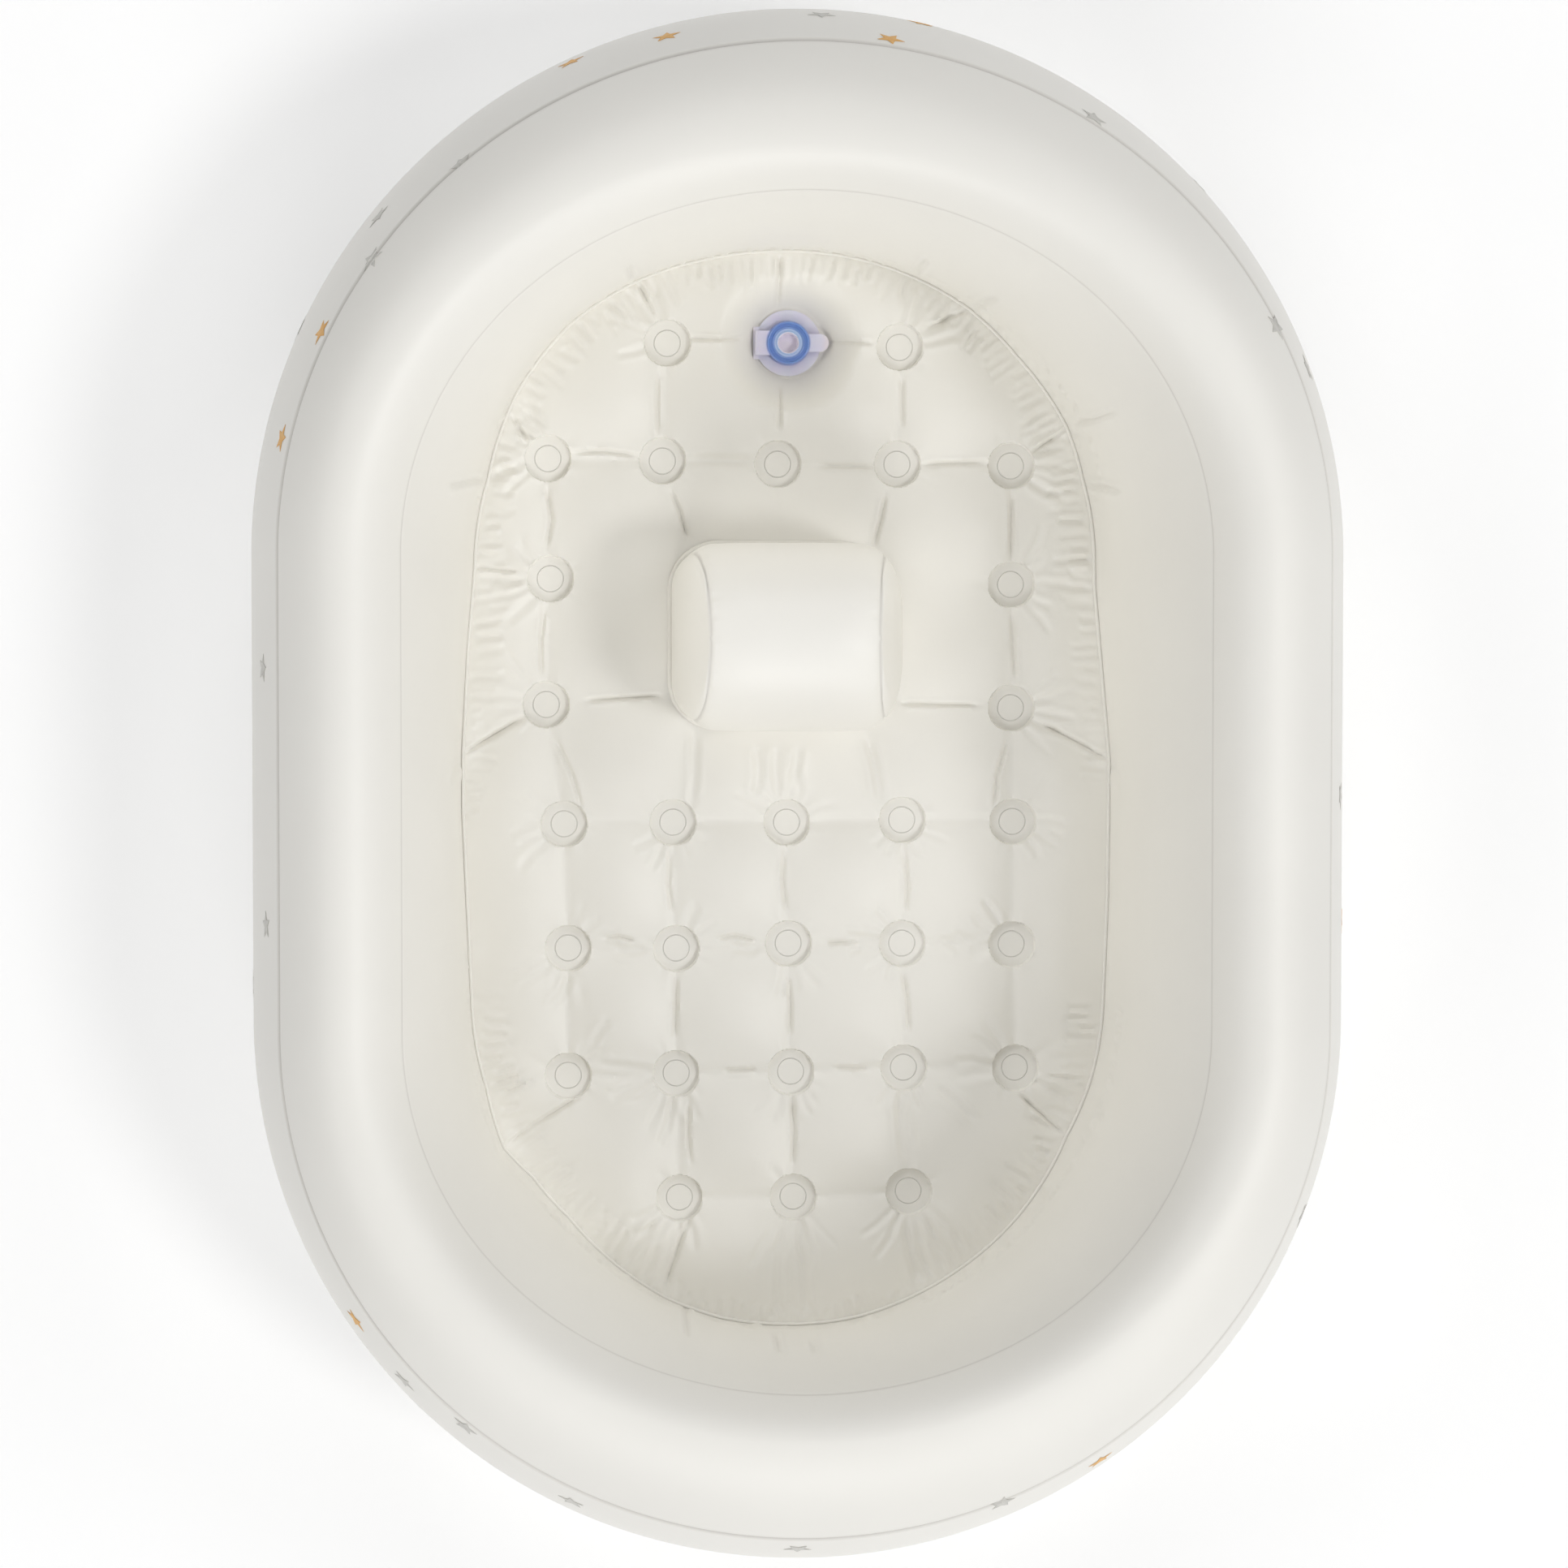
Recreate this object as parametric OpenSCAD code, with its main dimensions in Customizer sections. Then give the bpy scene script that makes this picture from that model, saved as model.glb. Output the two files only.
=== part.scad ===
// Inflatable baby bath: a fat oval wall, a quilted floor, a padded post between the legs,
// a drain with a hinged plug and two flush air valves. +Y is the foot end, where the drain is.

/* [Tub] */
// Length over the inflated wall
tub_length = 920; // [860:10:1000]
// Width over the inflated wall
tub_width = 647; // [620:1:690]
// Height of the wall's crown
tub_height = 280; // [265:1:300]

/* [Wall] */
// Thickness of the wall at the floor
wall_base_w = 122; // [110:1:130]
// How far in from the outside the outer seam lies, along the sides
outer_seam_in = 19; // [15:1:23]
// The same at the middle of the ends
outer_seam_end_in = 28; // [22:1:34]
// How far the outer seam lies below the crown
outer_seam_drop = 34; // [28:1:40]
// How far in the crown's top lies, along the sides
crown_in = 60; // [52:1:66]
// The same at the middle of the ends, where the wall leans in
crown_end_in = 90; // [78:1:96]
// How far in the inner seam lies, along the sides
inner_seam_in = 91; // [84:1:98]
// The same at the middle of the ends
inner_seam_end_in = 115; // [104:1:122]
// How far the inner seam lies below the crown
inner_seam_drop = 23; // [18:1:28]
// How far the inner sheet swells out of the line between its seams
inner_swell = 12; // [6:1:16]
// Height at which the wall bulges furthest out
bulge_z = 140; // [130:1:148]
// How far in the outer sheet meets the ground
contact_in = 44; // [36:1:54]
// Height of the seam between wall and floor
floor_seam_z = 50; // [44:1:54]
// Depth of the welded seam grooves
seam_depth = 1.2; // [0.6:0.1:2]
// Width of the welded seam grooves
seam_w = 4; // [2:0.5:6]
// Turn between two sections of the wall round an end
section_turn = 5; // [3:1:10]

/* [Floor] */
// Thickness of the inflated floor
floor_t = 60; // [54:1:66]
// Width of the rounded rim of the floor
rim_w = 26; // [18:1:34]
// Rounding of the floor's lower edge
low_rim_r = 8; // [4:1:12]
// Flat strip inside the rim
flat_w = 4; // [2:1:6]
// Radius of a weld spot
spot_r = 14.5; // [11:0.5:16]
// Reach of the pillow round a weld spot
pillow_w = 19.5; // [14:0.5:20]
// Turn of the pillow's curve
pillow_turn = 56; // [44:1:60]
// Depth of a weld spot below the top of the floor: hidden ties hold the two films this near
spot_depth = 12; // [9:0.5:15]
// Thickness of the two films where they are welded together, round the drain
weld_t = 2; // [1:0.5:4]
// Sideways pitch of the weld spots
pitch_x = 71.5; // [70:0.5:74]
// Lengthways pitch of the weld spots
pitch_y = 75.4; // [72:0.1:78]
// Distance from the floor's foot end to the drain and its row of weld spots
drain_inset = 69; // [66:0.5:72]
// Least distance from a weld spot's centre to the floor's edge
spot_margin = 40; // [36:1:46]
// Width of the creases between the weld spots
crease_w = 3; // [2:0.5:5]
// Depth of the creases
crease_depth = 2.5; // [1:0.5:4]
// Width of a gather along the floor's edge
gather_w = 5; // [3:0.5:8]
// Angle between two gathers round the ends
gather_step = 6; // [4:0.5:12]

/* [Post] */
// Width of the post's foot, across the tub
post_w = 145; // [130:1:150]
// Width across the post's top
post_top_w = 100; // [84:1:112]
// Length of the post's foot, along the tub
post_l = 118; // [100:1:122]
// Height of the post above the floor
post_h = 134; // [110:1:150]
// Radius of the arched top
post_arch_r = 52; // [44:1:54]
// Radius of the foot's corners
post_corner_r = 28; // [20:1:34]
// Distance from the drain to the middle of the post
post_from_drain = 180; // [176:1:182]
// Least gap between the post's foot and a weld spot's centre
post_clear = 9.5; // [8:0.5:12]
// Height of the upright edge round the post's foot
post_edge_h = 12; // [8:1:16]
// Radius of the long edges of the post's top
post_edge_r = 10; // [6:1:14]
// Width of the weld flange round the post's foot
post_flange_w = 4; // [2:0.5:6]
// Thickness of the weld flange
post_flange_t = 1.5; // [1:0.5:3]

/* [Drain] */
// Radius of the drain's bore
drain_bore_r = 8.2; // [7:0.1:9]
// Radius of the drain's flange
drain_flange_r = 20.3; // [19:0.1:21]
// Radius of the drain's cap
drain_cap_r = 13.3; // [12.5:0.1:14]
// Radius of the hollow in the plug
drain_cup_r = 6.2; // [5:0.1:6.3]
// Width of the cap's strap
drain_strap_w = 15; // [12:0.5:16]
// Distance from the bore to the strap's fold
drain_hinge_x = 19.5; // [19:0.1:20]
// Reach of the cap's pull tab
drain_tab_x = 25; // [22:0.5:26]
// Width of the pull tab
drain_tab_w = 11; // [8:0.5:12]
// Reach of the pillow round the drain
drain_pillow_w = 16; // [14:0.5:17]
// Turn of the pillow's curve round the drain
drain_pillow_turn = 50; // [40:1:54]
// Length of the drain's outlet below the floor's films
drain_stem_h = 9; // [6:0.5:12]

/* [Air valves] */
// Radius of a valve's bore
valve_bore_r = 4.2; // [3.8:0.1:4.6]
// Radius of a valve's flange
valve_flange_r = 14; // [13.6:0.1:15]
// Radius of a valve's cap
valve_cap_r = 8; // [7.5:0.1:8.5]
// Radius of the hollow in a valve's plug
valve_cup_r = 1.6; // [1:0.1:1.8]
// Width of the cap's strap
valve_strap_w = 7; // [5:0.5:8]
// Distance from the bore to the strap's fold
valve_hinge_x = 11.8; // [11.4:0.1:12.4]
// Reach of the cap's pull tab
valve_tab_x = 12.5; // [11:0.5:13.5]
// Width of the pull tab
valve_tab_w = 6; // [4:0.5:7]
// Length of a valve's stem inside the wall
valve_stem_h = 12; // [8:0.5:20]
// Radius of the recess that a valve sits in
recess_r = 18; // [17:0.5:20]
// Angle of the valves from the tub's long axis
valve_angle = 9; // [8:0.5:14]

/* [Moulded plastic] */
// Thickness of flanges, caps and straps
mould_t = 1.5; // [1.2:0.1:1.6]
// Height of a neck above its flange
neck_h = 2.4; // [2.2:0.1:3]
// Gap between the parts of a closed fitting
fit_gap = 0.3; // [0.2:0.05:0.4]
// Depth of a plug below its cap
plug_h = 6; // [4:0.5:7]

/* [Hidden] */

cream = [0.93, 0.91, 0.87];
drain_blue = [0.55, 0.62, 0.86];
valve_clear = [0.86, 0.87, 0.88];

eps = 0.01;
out_r = tub_width / 2;              // outline's end radius
half_straight = (tub_length - tub_width) / 2;

turns = [for (a = [0 : section_turn : 180]) a];   // of the wall's sections round an end

// Floor
floor_r = out_r - wall_base_w - fit_gap;
floor_end = half_straight + floor_r;
rim_drop = floor_t - floor_seam_z;
web_top = (floor_t + weld_t) / 2;
pit_depth = floor_t - web_top;      // round the drain
drain_y = floor_end - drain_inset;
drain_pit_r = max(drain_flange_r, drain_tab_x) + 1;
post_y = drain_y - post_from_drain;
last_row = floor((drain_y + floor_end) / pitch_y);
last_col = floor(floor_r / pitch_x);
spots = [for (row = [0 : last_row], col = [-last_col : last_col])
    let (x = col * pitch_x, y = drain_y - row * pitch_y)
    if (edge_distance(x, y) > spot_margin && !under_post(x, y) && norm([x, y - drain_y]) > spot_r)
        [x, y]];

// Closed fittings: heights above the film
cap_z = mould_t + neck_h + fit_gap;
axis_z = cap_z + mould_t / 2;
recess_depth = cap_z + mould_t + 1.5;
drain_film_z = web_top + fit_gap;

function arc(cx, cz, r, a0, a1, n) =
    [for (i = [0 : n]) let (a = a0 + (a1 - a0) * i / n) [cx + r * cos(a), cz + r * sin(a)]];
function edge_distance(x, y) = floor_r - norm([x, max(0, abs(y) - half_straight)]);
function under_post(x, y) = abs(x) < post_w / 2 + post_clear && abs(y - post_y) < post_l / 2 + post_clear;
function is_spot(x, y) = len([for (s = spots) if (norm(s - [x, y]) < 1) 1]) > 0;

// A welded seam's groove at p, between the section's points before and after it
function groove(before, p, after) =
    let (along = (after - before) / norm(after - before))
    [p + (before - p) / norm(before - p) * seam_w / 2,
     p + seam_depth * [along[1], -along[0]],
     p + (after - p) / norm(after - p) * seam_w / 2];

// Section of the inflated wall: distance in from the outside, and height. The share e is 0
// along the straight sides and 1 at the middle of the ends.
function wall_section(e) =
    let (outer = [outer_seam_in + (outer_seam_end_in - outer_seam_in) * e, tub_height - outer_seam_drop],
         crown = [crown_in + (crown_end_in - crown_in) * e, tub_height],
         inner = [inner_seam_in + (inner_seam_end_in - inner_seam_in) * e, tub_height - inner_seam_drop],
         base = [wall_base_w, floor_seam_z],
         chord = base - inner,
         swell = inner_swell / norm(chord) * [-chord[1], chord[0]],
         outer_sheet = [for (t = [0 : 1/6 : 0.99]) [outer[0] * t * t, bulge_z + (outer[1] - bulge_z) * t]],
         crown_sheet = concat(
            [for (t = [1/6 : 1/6 : 1.01]) [outer[0] + (crown[0] - outer[0]) * t,
                crown[1] - outer_seam_drop * pow(1 - t, 2)]],
            [for (t = [1/5 : 1/5 : 0.99]) [crown[0] + (inner[0] - crown[0]) * t,
                crown[1] - inner_seam_drop * pow(t, 2)]]),
         inner_sheet = [for (t = [0.1 : 0.1 : 0.99]) inner + chord * t + swell * 4 * t * (1 - t)])
    concat(
        [for (a = [0 : 11.25 : 89]) [contact_in * (1 - sin(a)), bulge_z * (1 - cos(a))]],
        outer_sheet,
        groove(outer_sheet[5], outer, crown_sheet[0]),
        crown_sheet,
        groove(crown_sheet[9], inner, inner_sheet[0]),
        inner_sheet,
        [base, [wall_base_w, 0]]);

// Sweeps a section round the tub: two half turns joined by two straights
module oval_sweep(r) {
    for (side = [0, 180]) rotate([0, 0, side]) {
        translate([0, half_straight, 0]) rotate_extrude(angle = 180, $fn = 128)
            translate([r, 0]) children();
        translate([0, half_straight, 0]) rotate([90, 0, 0]) linear_extrude(2 * half_straight)
            translate([r, 0]) children();
    }
}

// The wall as a loop of sections, which lean further in round the ends
module wall_loop() {
    sections = [for (side = [1, -1], a = turns)
        [for (p = wall_section(pow(sin(a), 2)))
            [side * (out_r - p[0]) * cos(a), side * (half_straight + (out_r - p[0]) * sin(a)), p[1]]]];
    rows = len(sections[0]);
    count = len(sections);
    polyhedron(
        points = [for (section = sections) each section],
        faces = [for (i = [0 : count - 1], j = [0 : rows - 1])
            let (here = i * rows, next = (i + 1) % count * rows, up = (j + 1) % rows)
            each [[here + j, here + up, next + up], [here + j, next + up, next + j]]]);
}

// One flush valve place on the outer wall at the head end
module at_valve(angle) {
    translate([0, -half_straight, 0]) rotate([0, 0, angle - 90])
        translate([out_r - recess_depth, 0, bulge_z]) rotate([0, 90, 0]) children();
}

module wall() {
    color(cream) difference() {
        wall_loop();
        for (angle = [-valve_angle, valve_angle]) at_valve(angle) {
            cylinder(h = recess_depth + 20, r = recess_r);
            translate([0, 0, -valve_stem_h - fit_gap]) cylinder(h = valve_stem_h + 1, r = valve_bore_r + 2);
        }
    }
}

// Section of the floor's rounded rim
module rim_section() {
    polygon(concat(
        arc(-low_rim_r, low_rim_r, low_rim_r, -90, 0, 4),
        [for (i = [0 : 8]) let (a = 90 * i / 8)
            [-rim_w + rim_w * cos(a), floor_seam_z + rim_drop * sin(a)]],
        [[-rim_w - flat_w, floor_t], [-rim_w - flat_w, 0]]));
}

module floor_slab() {
    core_r = floor_r - rim_w - flat_w / 2;
    oval_sweep(floor_r) rim_section();
    linear_extrude(floor_t) {
        square([2 * core_r, 2 * half_straight], center = true);
        for (side = [-1, 1]) translate([0, side * half_straight]) circle(core_r, $fn = 128);
    }
}

// A pit in the floor: a flat disc and the shoulder of the pillow round it
module pit(depth, r, w, turn) {
    chord_a = atan2(depth, w);
    curve_r = norm([w, depth]) / 2 / sin(turn / 2);
    top_a = chord_a - turn / 2;
    over = 2;
    rotate_extrude($fn = 64) difference() {
        square([r + w + over, depth + over]);
        translate([r + w + curve_r * sin(top_a), depth - curve_r * cos(top_a)]) circle(curve_r);
    }
}

// The same pit in both faces of the floor
module pits(depth, r, w, turn) {
    translate([0, 0, floor_t - depth]) pit(depth, r, w, turn);
    translate([0, 0, depth]) mirror([0, 0, 1]) pit(depth, r, w, turn);
}

// A V-shaped crease along +X from the origin, at the top of the floor
module crease(length) {
    translate([0, 0, floor_t]) rotate([90, 0, 90]) linear_extrude(length)
        polygon([[-crease_w / 2, 1], [-crease_w / 2, 0], [0, -crease_depth],
                 [crease_w / 2, 0], [crease_w / 2, 1]]);
}

module creases() {
    reach = spot_r + pillow_w / 2;
    for (s = spots) translate([s[0], s[1], 0]) {
        if (is_spot(s[0] + pitch_x, s[1])) translate([reach, 0, 0]) crease(pitch_x - 2 * reach);
        if (is_spot(s[0], s[1] + pitch_y)) translate([0, reach, 0]) rotate([0, 0, 90])
            crease(pitch_y - 2 * reach);
    }
}

// Gathers pull the floor's rim in round both ends
module gathers() {
    drop = rim_drop + gather_w / 4;
    for (side = [0, 180], a = [gather_step : gather_step : 180 - gather_step])
        rotate([0, 0, side]) translate([0, half_straight, 0]) rotate([0, 0, a])
            translate([floor_r - rim_w * 0.45, 0, floor_t])
                rotate([0, 90 + atan2(drop, rim_w * 0.6), 0]) cylinder(h = rim_w, d = gather_w / 2, $fn = 24);
}

module floor_pad() {
    color(cream) difference() {
        floor_slab();
        for (s = spots) translate([s[0], s[1], 0]) pits(spot_depth, spot_r, pillow_w, pillow_turn);
        translate([0, drain_y, 0]) {
            pits(pit_depth, drain_pit_r, drain_pillow_w, drain_pillow_turn);
            translate([0, 0, -1]) cylinder(h = floor_t, r = drain_bore_r + 2 + fit_gap);
        }
        creases();
        gathers();
    }
}

// The post between the legs: an arched sheet over two sloping end panels
module post() {
    arch_z = post_h - post_arch_r;
    edge_in = 1;
    arch_a = 6;
    color(cream) translate([0, post_y, floor_t]) {
        intersection() {
            rotate([90, 0, 90]) translate([0, 0, -post_w / 2]) linear_extrude(post_w) polygon(concat(
                [[-post_l / 2, 0], [post_l / 2, 0], [post_l / 2, post_edge_h]],
                arc(0, arch_z, post_arch_r, arch_a, 180 - arch_a, 24),
                [[-post_l / 2, post_edge_h]]));
            rotate([90, 0, 0]) translate([0, 0, -post_l / 2]) linear_extrude(post_l) polygon(concat(
                [[-post_w / 2, 0], [post_w / 2, 0], [post_w / 2 - edge_in, post_edge_h]],
                arc(post_top_w / 2 - post_edge_r, post_h - post_edge_r, post_edge_r, 2 * arch_a, 90, 6),
                arc(post_edge_r - post_top_w / 2, post_h - post_edge_r, post_edge_r, 90, 180 - 2 * arch_a, 6),
                [[edge_in - post_w / 2, post_edge_h]]));
            linear_extrude(post_h + 1) rounded_rect(post_w, post_l, post_corner_r);
        }
        linear_extrude(post_flange_t)
            rounded_rect(post_w + 2 * post_flange_w, post_l + 2 * post_flange_w, post_corner_r + post_flange_w);
    }
}

module rounded_rect(w, l, r) {
    square([w - 2 * r, l], center = true);
    square([w, l - 2 * r], center = true);
    for (x = [-1, 1], y = [-1, 1]) translate([x * (w / 2 - r), y * (l / 2 - r)]) circle(r, $fn = 64);
}

// Body of a fitting: flange, neck, stem and the block that carries the strap's fold
module fitting_body(bore_r, flange_r, strap_w, hinge_x, stem_h) {
    neck_r = bore_r + 2;
    block_w = strap_w + 5;
    bead_r = mould_t * 0.8;
    block_z = axis_z - bead_r - fit_gap;
    difference() {
        union() {
            cylinder(h = mould_t, r = flange_r, $fn = 96);
            translate([0, 0, mould_t - eps]) cylinder(h = neck_h + eps, r = neck_r, $fn = 64);
            translate([0, 0, -stem_h]) cylinder(h = stem_h + eps, r = neck_r - fit_gap, $fn = 64);
            translate([-hinge_x - 2, -block_w / 2, 0]) cube([hinge_x, block_w, mould_t]);
            translate([-hinge_x - 2, -block_w / 2, 0]) cube([3.5, block_w, block_z]);
        }
        translate([0, 0, -stem_h - 1]) cylinder(h = stem_h + cap_z + 1, r = bore_r, $fn = 64);
    }
}

// Plug of a fitting: cap, strap, fold bead and pull tab in one moulding
module fitting_plug(bore_r, cap_r, cup_r, strap_w, hinge_x, tab_x, tab_w) {
    bead_r = mould_t * 0.8;
    depth = plug_h + mould_t / 2;
    swing = pow(depth, 2) / (2 * (hinge_x + bore_r));
    tip_r = bore_r - fit_gap - swing - 0.1;
    translate([0, 0, cap_z]) difference() {
        union() {
            linear_extrude(mould_t) {
                circle(cap_r, $fn = 96);
                translate([-hinge_x, -strap_w / 2]) square([hinge_x, strap_w]);
                translate([0, -tab_w / 2]) square([tab_x - tab_w / 2, tab_w]);
                translate([tab_x - tab_w / 2, 0]) circle(tab_w / 2, $fn = 48);
            }
            translate([0, 0, -plug_h]) cylinder(h = plug_h + eps, r1 = tip_r, r2 = bore_r - fit_gap, $fn = 64);
            translate([-hinge_x, -strap_w / 2, mould_t / 2]) rotate([-90, 0, 0])
                cylinder(h = strap_w, r = bead_r, $fn = 32);
        }
        translate([0, 0, 1 - plug_h])
            cylinder(h = plug_h + mould_t, r1 = cup_r * tip_r / bore_r, r2 = cup_r, $fn = 64);
    }
}

module at_drain() {
    translate([0, drain_y, drain_film_z]) children();
}

module drain_body() {
    color(drain_blue) at_drain()
        fitting_body(drain_bore_r, drain_flange_r, drain_strap_w, drain_hinge_x, drain_stem_h);
}

module drain_plug() {
    color(drain_blue) at_drain() fitting_plug(drain_bore_r, drain_cap_r, drain_cup_r,
        drain_strap_w, drain_hinge_x, drain_tab_x, drain_tab_w);
}

module valve_body(angle) {
    color(valve_clear) at_valve(angle) rotate([0, 0, 90]) translate([0, 0, fit_gap])
        fitting_body(valve_bore_r, valve_flange_r, valve_strap_w, valve_hinge_x, valve_stem_h);
}

module valve_plug(angle) {
    color(valve_clear) at_valve(angle) rotate([0, 0, 90]) translate([0, 0, fit_gap])
        fitting_plug(valve_bore_r, valve_cap_r, valve_cup_r,
            valve_strap_w, valve_hinge_x, valve_tab_x, valve_tab_w);
}

wall();
floor_pad();  // floor
post();
drain_body();
drain_plug();
valve_body(-valve_angle);  // wall_valve_body
valve_plug(-valve_angle);  // wall_valve_plug
valve_body(valve_angle);  // floor_valve_body
valve_plug(valve_angle);  // floor_valve_plug
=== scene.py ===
import math
import random

import bmesh
import bpy
import numpy as np
from mathutils import Matrix, Vector
from mathutils.bvhtree import BVHTree


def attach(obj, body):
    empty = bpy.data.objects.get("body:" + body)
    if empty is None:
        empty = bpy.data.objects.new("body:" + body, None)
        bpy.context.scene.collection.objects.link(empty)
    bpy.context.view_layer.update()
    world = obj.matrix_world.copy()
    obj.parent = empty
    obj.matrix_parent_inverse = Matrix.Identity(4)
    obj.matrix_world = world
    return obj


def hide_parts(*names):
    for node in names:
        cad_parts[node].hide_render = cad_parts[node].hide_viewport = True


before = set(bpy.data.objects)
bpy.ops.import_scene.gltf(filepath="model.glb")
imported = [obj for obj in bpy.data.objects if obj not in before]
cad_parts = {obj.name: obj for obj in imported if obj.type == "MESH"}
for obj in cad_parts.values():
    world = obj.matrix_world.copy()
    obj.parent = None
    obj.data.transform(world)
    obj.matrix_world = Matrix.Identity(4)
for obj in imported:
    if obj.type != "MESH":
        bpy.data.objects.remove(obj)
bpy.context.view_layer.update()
mm = 0.001  # lengths below are in millimetres, meshes in metres

photo = dict(
    size=1932,  # width and height of the picture, pixels
    position=(-159.4, 129.5, 3000),
    aim=(-8.1, 1.4, 140),
    lens=110.3,
    sensor=36,
)


def cameraAxes():
    forward = (Vector(photo["aim"]) - Vector(photo["position"])).normalized()
    right = forward.cross(Vector((0, 1, 0))).normalized()
    return right, right.cross(forward), forward


def photoRay(px, py):
    right, up, forward = cameraAxes()
    reach = photo["lens"] / photo["sensor"] * photo["size"]
    middle = photo["size"] / 2
    return (forward * reach + right * (px - middle) - up * (py - middle)).normalized()


def photoPoint(px, py, height):
    start = Vector(photo["position"])
    ray = photoRay(px, py)
    point = start + ray * ((height - start.z) / ray.z)
    return point.x, point.y


def inPlan(line, height):
    return [photoPoint(px, py, height) for px, py in line]


# Where points of the object, in millimetres, stand in the photo
def photoPixels(points):
    right, up, forward = (np.array(axis) for axis in cameraAxes())
    away = np.asarray(points) - np.array(photo["position"])
    scale = photo["lens"] / photo["sensor"] * photo["size"] / (away @ forward)
    middle = photo["size"] / 2
    return middle + away @ right * scale, middle - away @ up * scale


def addCamera():
    right, up, forward = cameraAxes()
    data = bpy.data.cameras.new("photoCamera")
    data.lens = photo["lens"]
    data.sensor_width = photo["sensor"]
    data.clip_end = 20
    camera = bpy.data.objects.new("photoCamera", data)
    turn = Matrix((right, up, -forward)).transposed().to_4x4()
    camera.matrix_world = Matrix.Translation(Vector(photo["position"]) * mm) @ turn
    bpy.context.collection.objects.link(camera)
    bpy.context.scene.camera = camera


# Fills sockets of a node, each with a value or with the output of another node
def fillSockets(tree, node, sockets):
    for name, value in sockets.items():
        if isinstance(value, bpy.types.NodeSocket):
            tree.links.new(value, node.inputs[name])
        else:
            node.inputs[name].default_value = value


def addNode(tree, kind, sockets={}, **options):
    node = tree.nodes.new("ShaderNode" + kind)
    for name, value in options.items():
        setattr(node, name, value)
    fillSockets(tree, node, sockets)
    return node


def newMaterial(name):
    material = bpy.data.materials.new(name)
    material.use_nodes = True
    tree = material.node_tree
    return material, tree, tree.nodes["Principled BSDF"]


def noiseNode(tree, scale, detail):
    place = addNode(tree, "TexCoord").outputs["Object"]
    return addNode(tree, "TexNoise", {"Vector": place, "Scale": scale, "Detail": detail})


def rampNode(tree, source, stops):
    node = addNode(tree, "ValToRGB", {"Fac": source})
    first, last = node.color_ramp.elements
    first.position, first.color = stops[0][0], (*stops[0][1], 1)
    last.position, last.color = stops[-1][0], (*stops[-1][1], 1)
    for place, colour in stops[1:-1]:
        node.color_ramp.elements.new(place).color = (*colour, 1)
    return node.outputs["Color"]


# Cloudy mix of two colours
def cloudTone(tree, scale, detail, stops):
    return rampNode(tree, noiseNode(tree, scale, detail).outputs["Fac"], stops)


# Bump on top of the normal of another bump; the distance is in metres
def bumpNormal(tree, height, strength, distance, under=None):
    bump = addNode(tree, "Bump", {"Strength": strength, "Distance": distance, "Height": height})
    if under is not None:
        tree.links.new(under, bump.inputs["Normal"])
    return bump.outputs["Normal"]


def noiseBump(tree, scale, detail, strength, distance, under=None):
    height = noiseNode(tree, scale, detail).outputs["Fac"]
    return bumpNormal(tree, height, strength, distance, under)


def linear(red, green, blue):
    return tuple(((c / 255 + 0.055) / 1.055) ** 2.4 for c in (red, green, blue))


# Satin film. Where the attribute weld is above 0 it is a seam: glossier, and greyer with painted
# shade of its groove.
# The attribute spotGap is the distance to the middle of a weld spot, for its pressed ring.
filmLook = dict(
    pale=(250, 248, 242),
    dim=(247, 245, 239),
    # painted shade: the grey that seams take where the weld attribute is set
    seam=(212, 208, 202),
    seamGloss=0.14,  # how much less rough a seam is
    grain=(900, 2, 0.12, 0.0002),  # scale, detail, strength and distance of a bump
    crinkle=(55, 3, 0.1, 0.002),
    ring=[(0, 1), (7.7, 1), (8, 0.1), (8.2, 0.1), (8.4, 1)],  # distance, height
    ringReach=20,
)


def filmMaterial(name, roughness, rings=False):
    look = filmLook
    material, tree, shader = newMaterial(name)
    tone = cloudTone(tree, 9, 4, [(0.3, linear(*look["dim"])), (0.7, linear(*look["pale"]))])
    # weld mixes in the painted seam shade and makes the seam glossier
    weld = addNode(tree, "Attribute", attribute_name="weld").outputs["Fac"]
    colours = {"Factor": weld, "A": tone, "B": (*linear(*look["seam"]), 1)}
    seam = addNode(tree, "Mix", colours, data_type="RGBA")
    sheen = {"Value": weld, "To Min": roughness, "To Max": roughness - look["seamGloss"]}
    gloss = addNode(tree, "MapRange", sheen)
    normal = noiseBump(tree, *look["grain"])
    normal = noiseBump(tree, *look["crinkle"], normal)
    if rings:
        gap = addNode(tree, "Attribute", attribute_name="spotGap").outputs["Fac"]
        share = addNode(tree, "Math", {0: gap, 1: 1 / look["ringReach"]}, operation="MULTIPLY")
        stops = [(place / look["ringReach"], (height,) * 3) for place, height in look["ring"]]
        ring = rampNode(tree, share.outputs["Value"], stops)
        normal = bumpNormal(tree, ring, 0.9, 0.0006, normal)
    fillSockets(tree, shader, {
        "Base Color": seam.outputs["Result"], "Roughness": gloss.outputs["Result"],
        "IOR": 1.45, "Normal": normal,
    })
    return material


def inkMaterial(name, colour, worn):
    material, tree, shader = newMaterial(name)
    tone = cloudTone(tree, 260, 3, [(0.35, linear(*worn)), (0.6, linear(*colour))])
    fillSockets(tree, shader, {"Base Color": tone, "Roughness": 0.55})
    return material


def makeObject(bm, name, material, crisp=180):
    for face in bm.faces:
        face.smooth = True
    for edge in bm.edges:
        if crisp < 180 and edge.is_manifold:
            edge.smooth = edge.calc_face_angle(0) < math.radians(crisp)
    mesh = bpy.data.meshes.new(name)
    bm.to_mesh(mesh)
    bm.free()
    mesh.materials.append(material)
    mesh.update()
    piece = bpy.data.objects.new(name, mesh)
    bpy.context.collection.objects.link(piece)
    return piece


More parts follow.
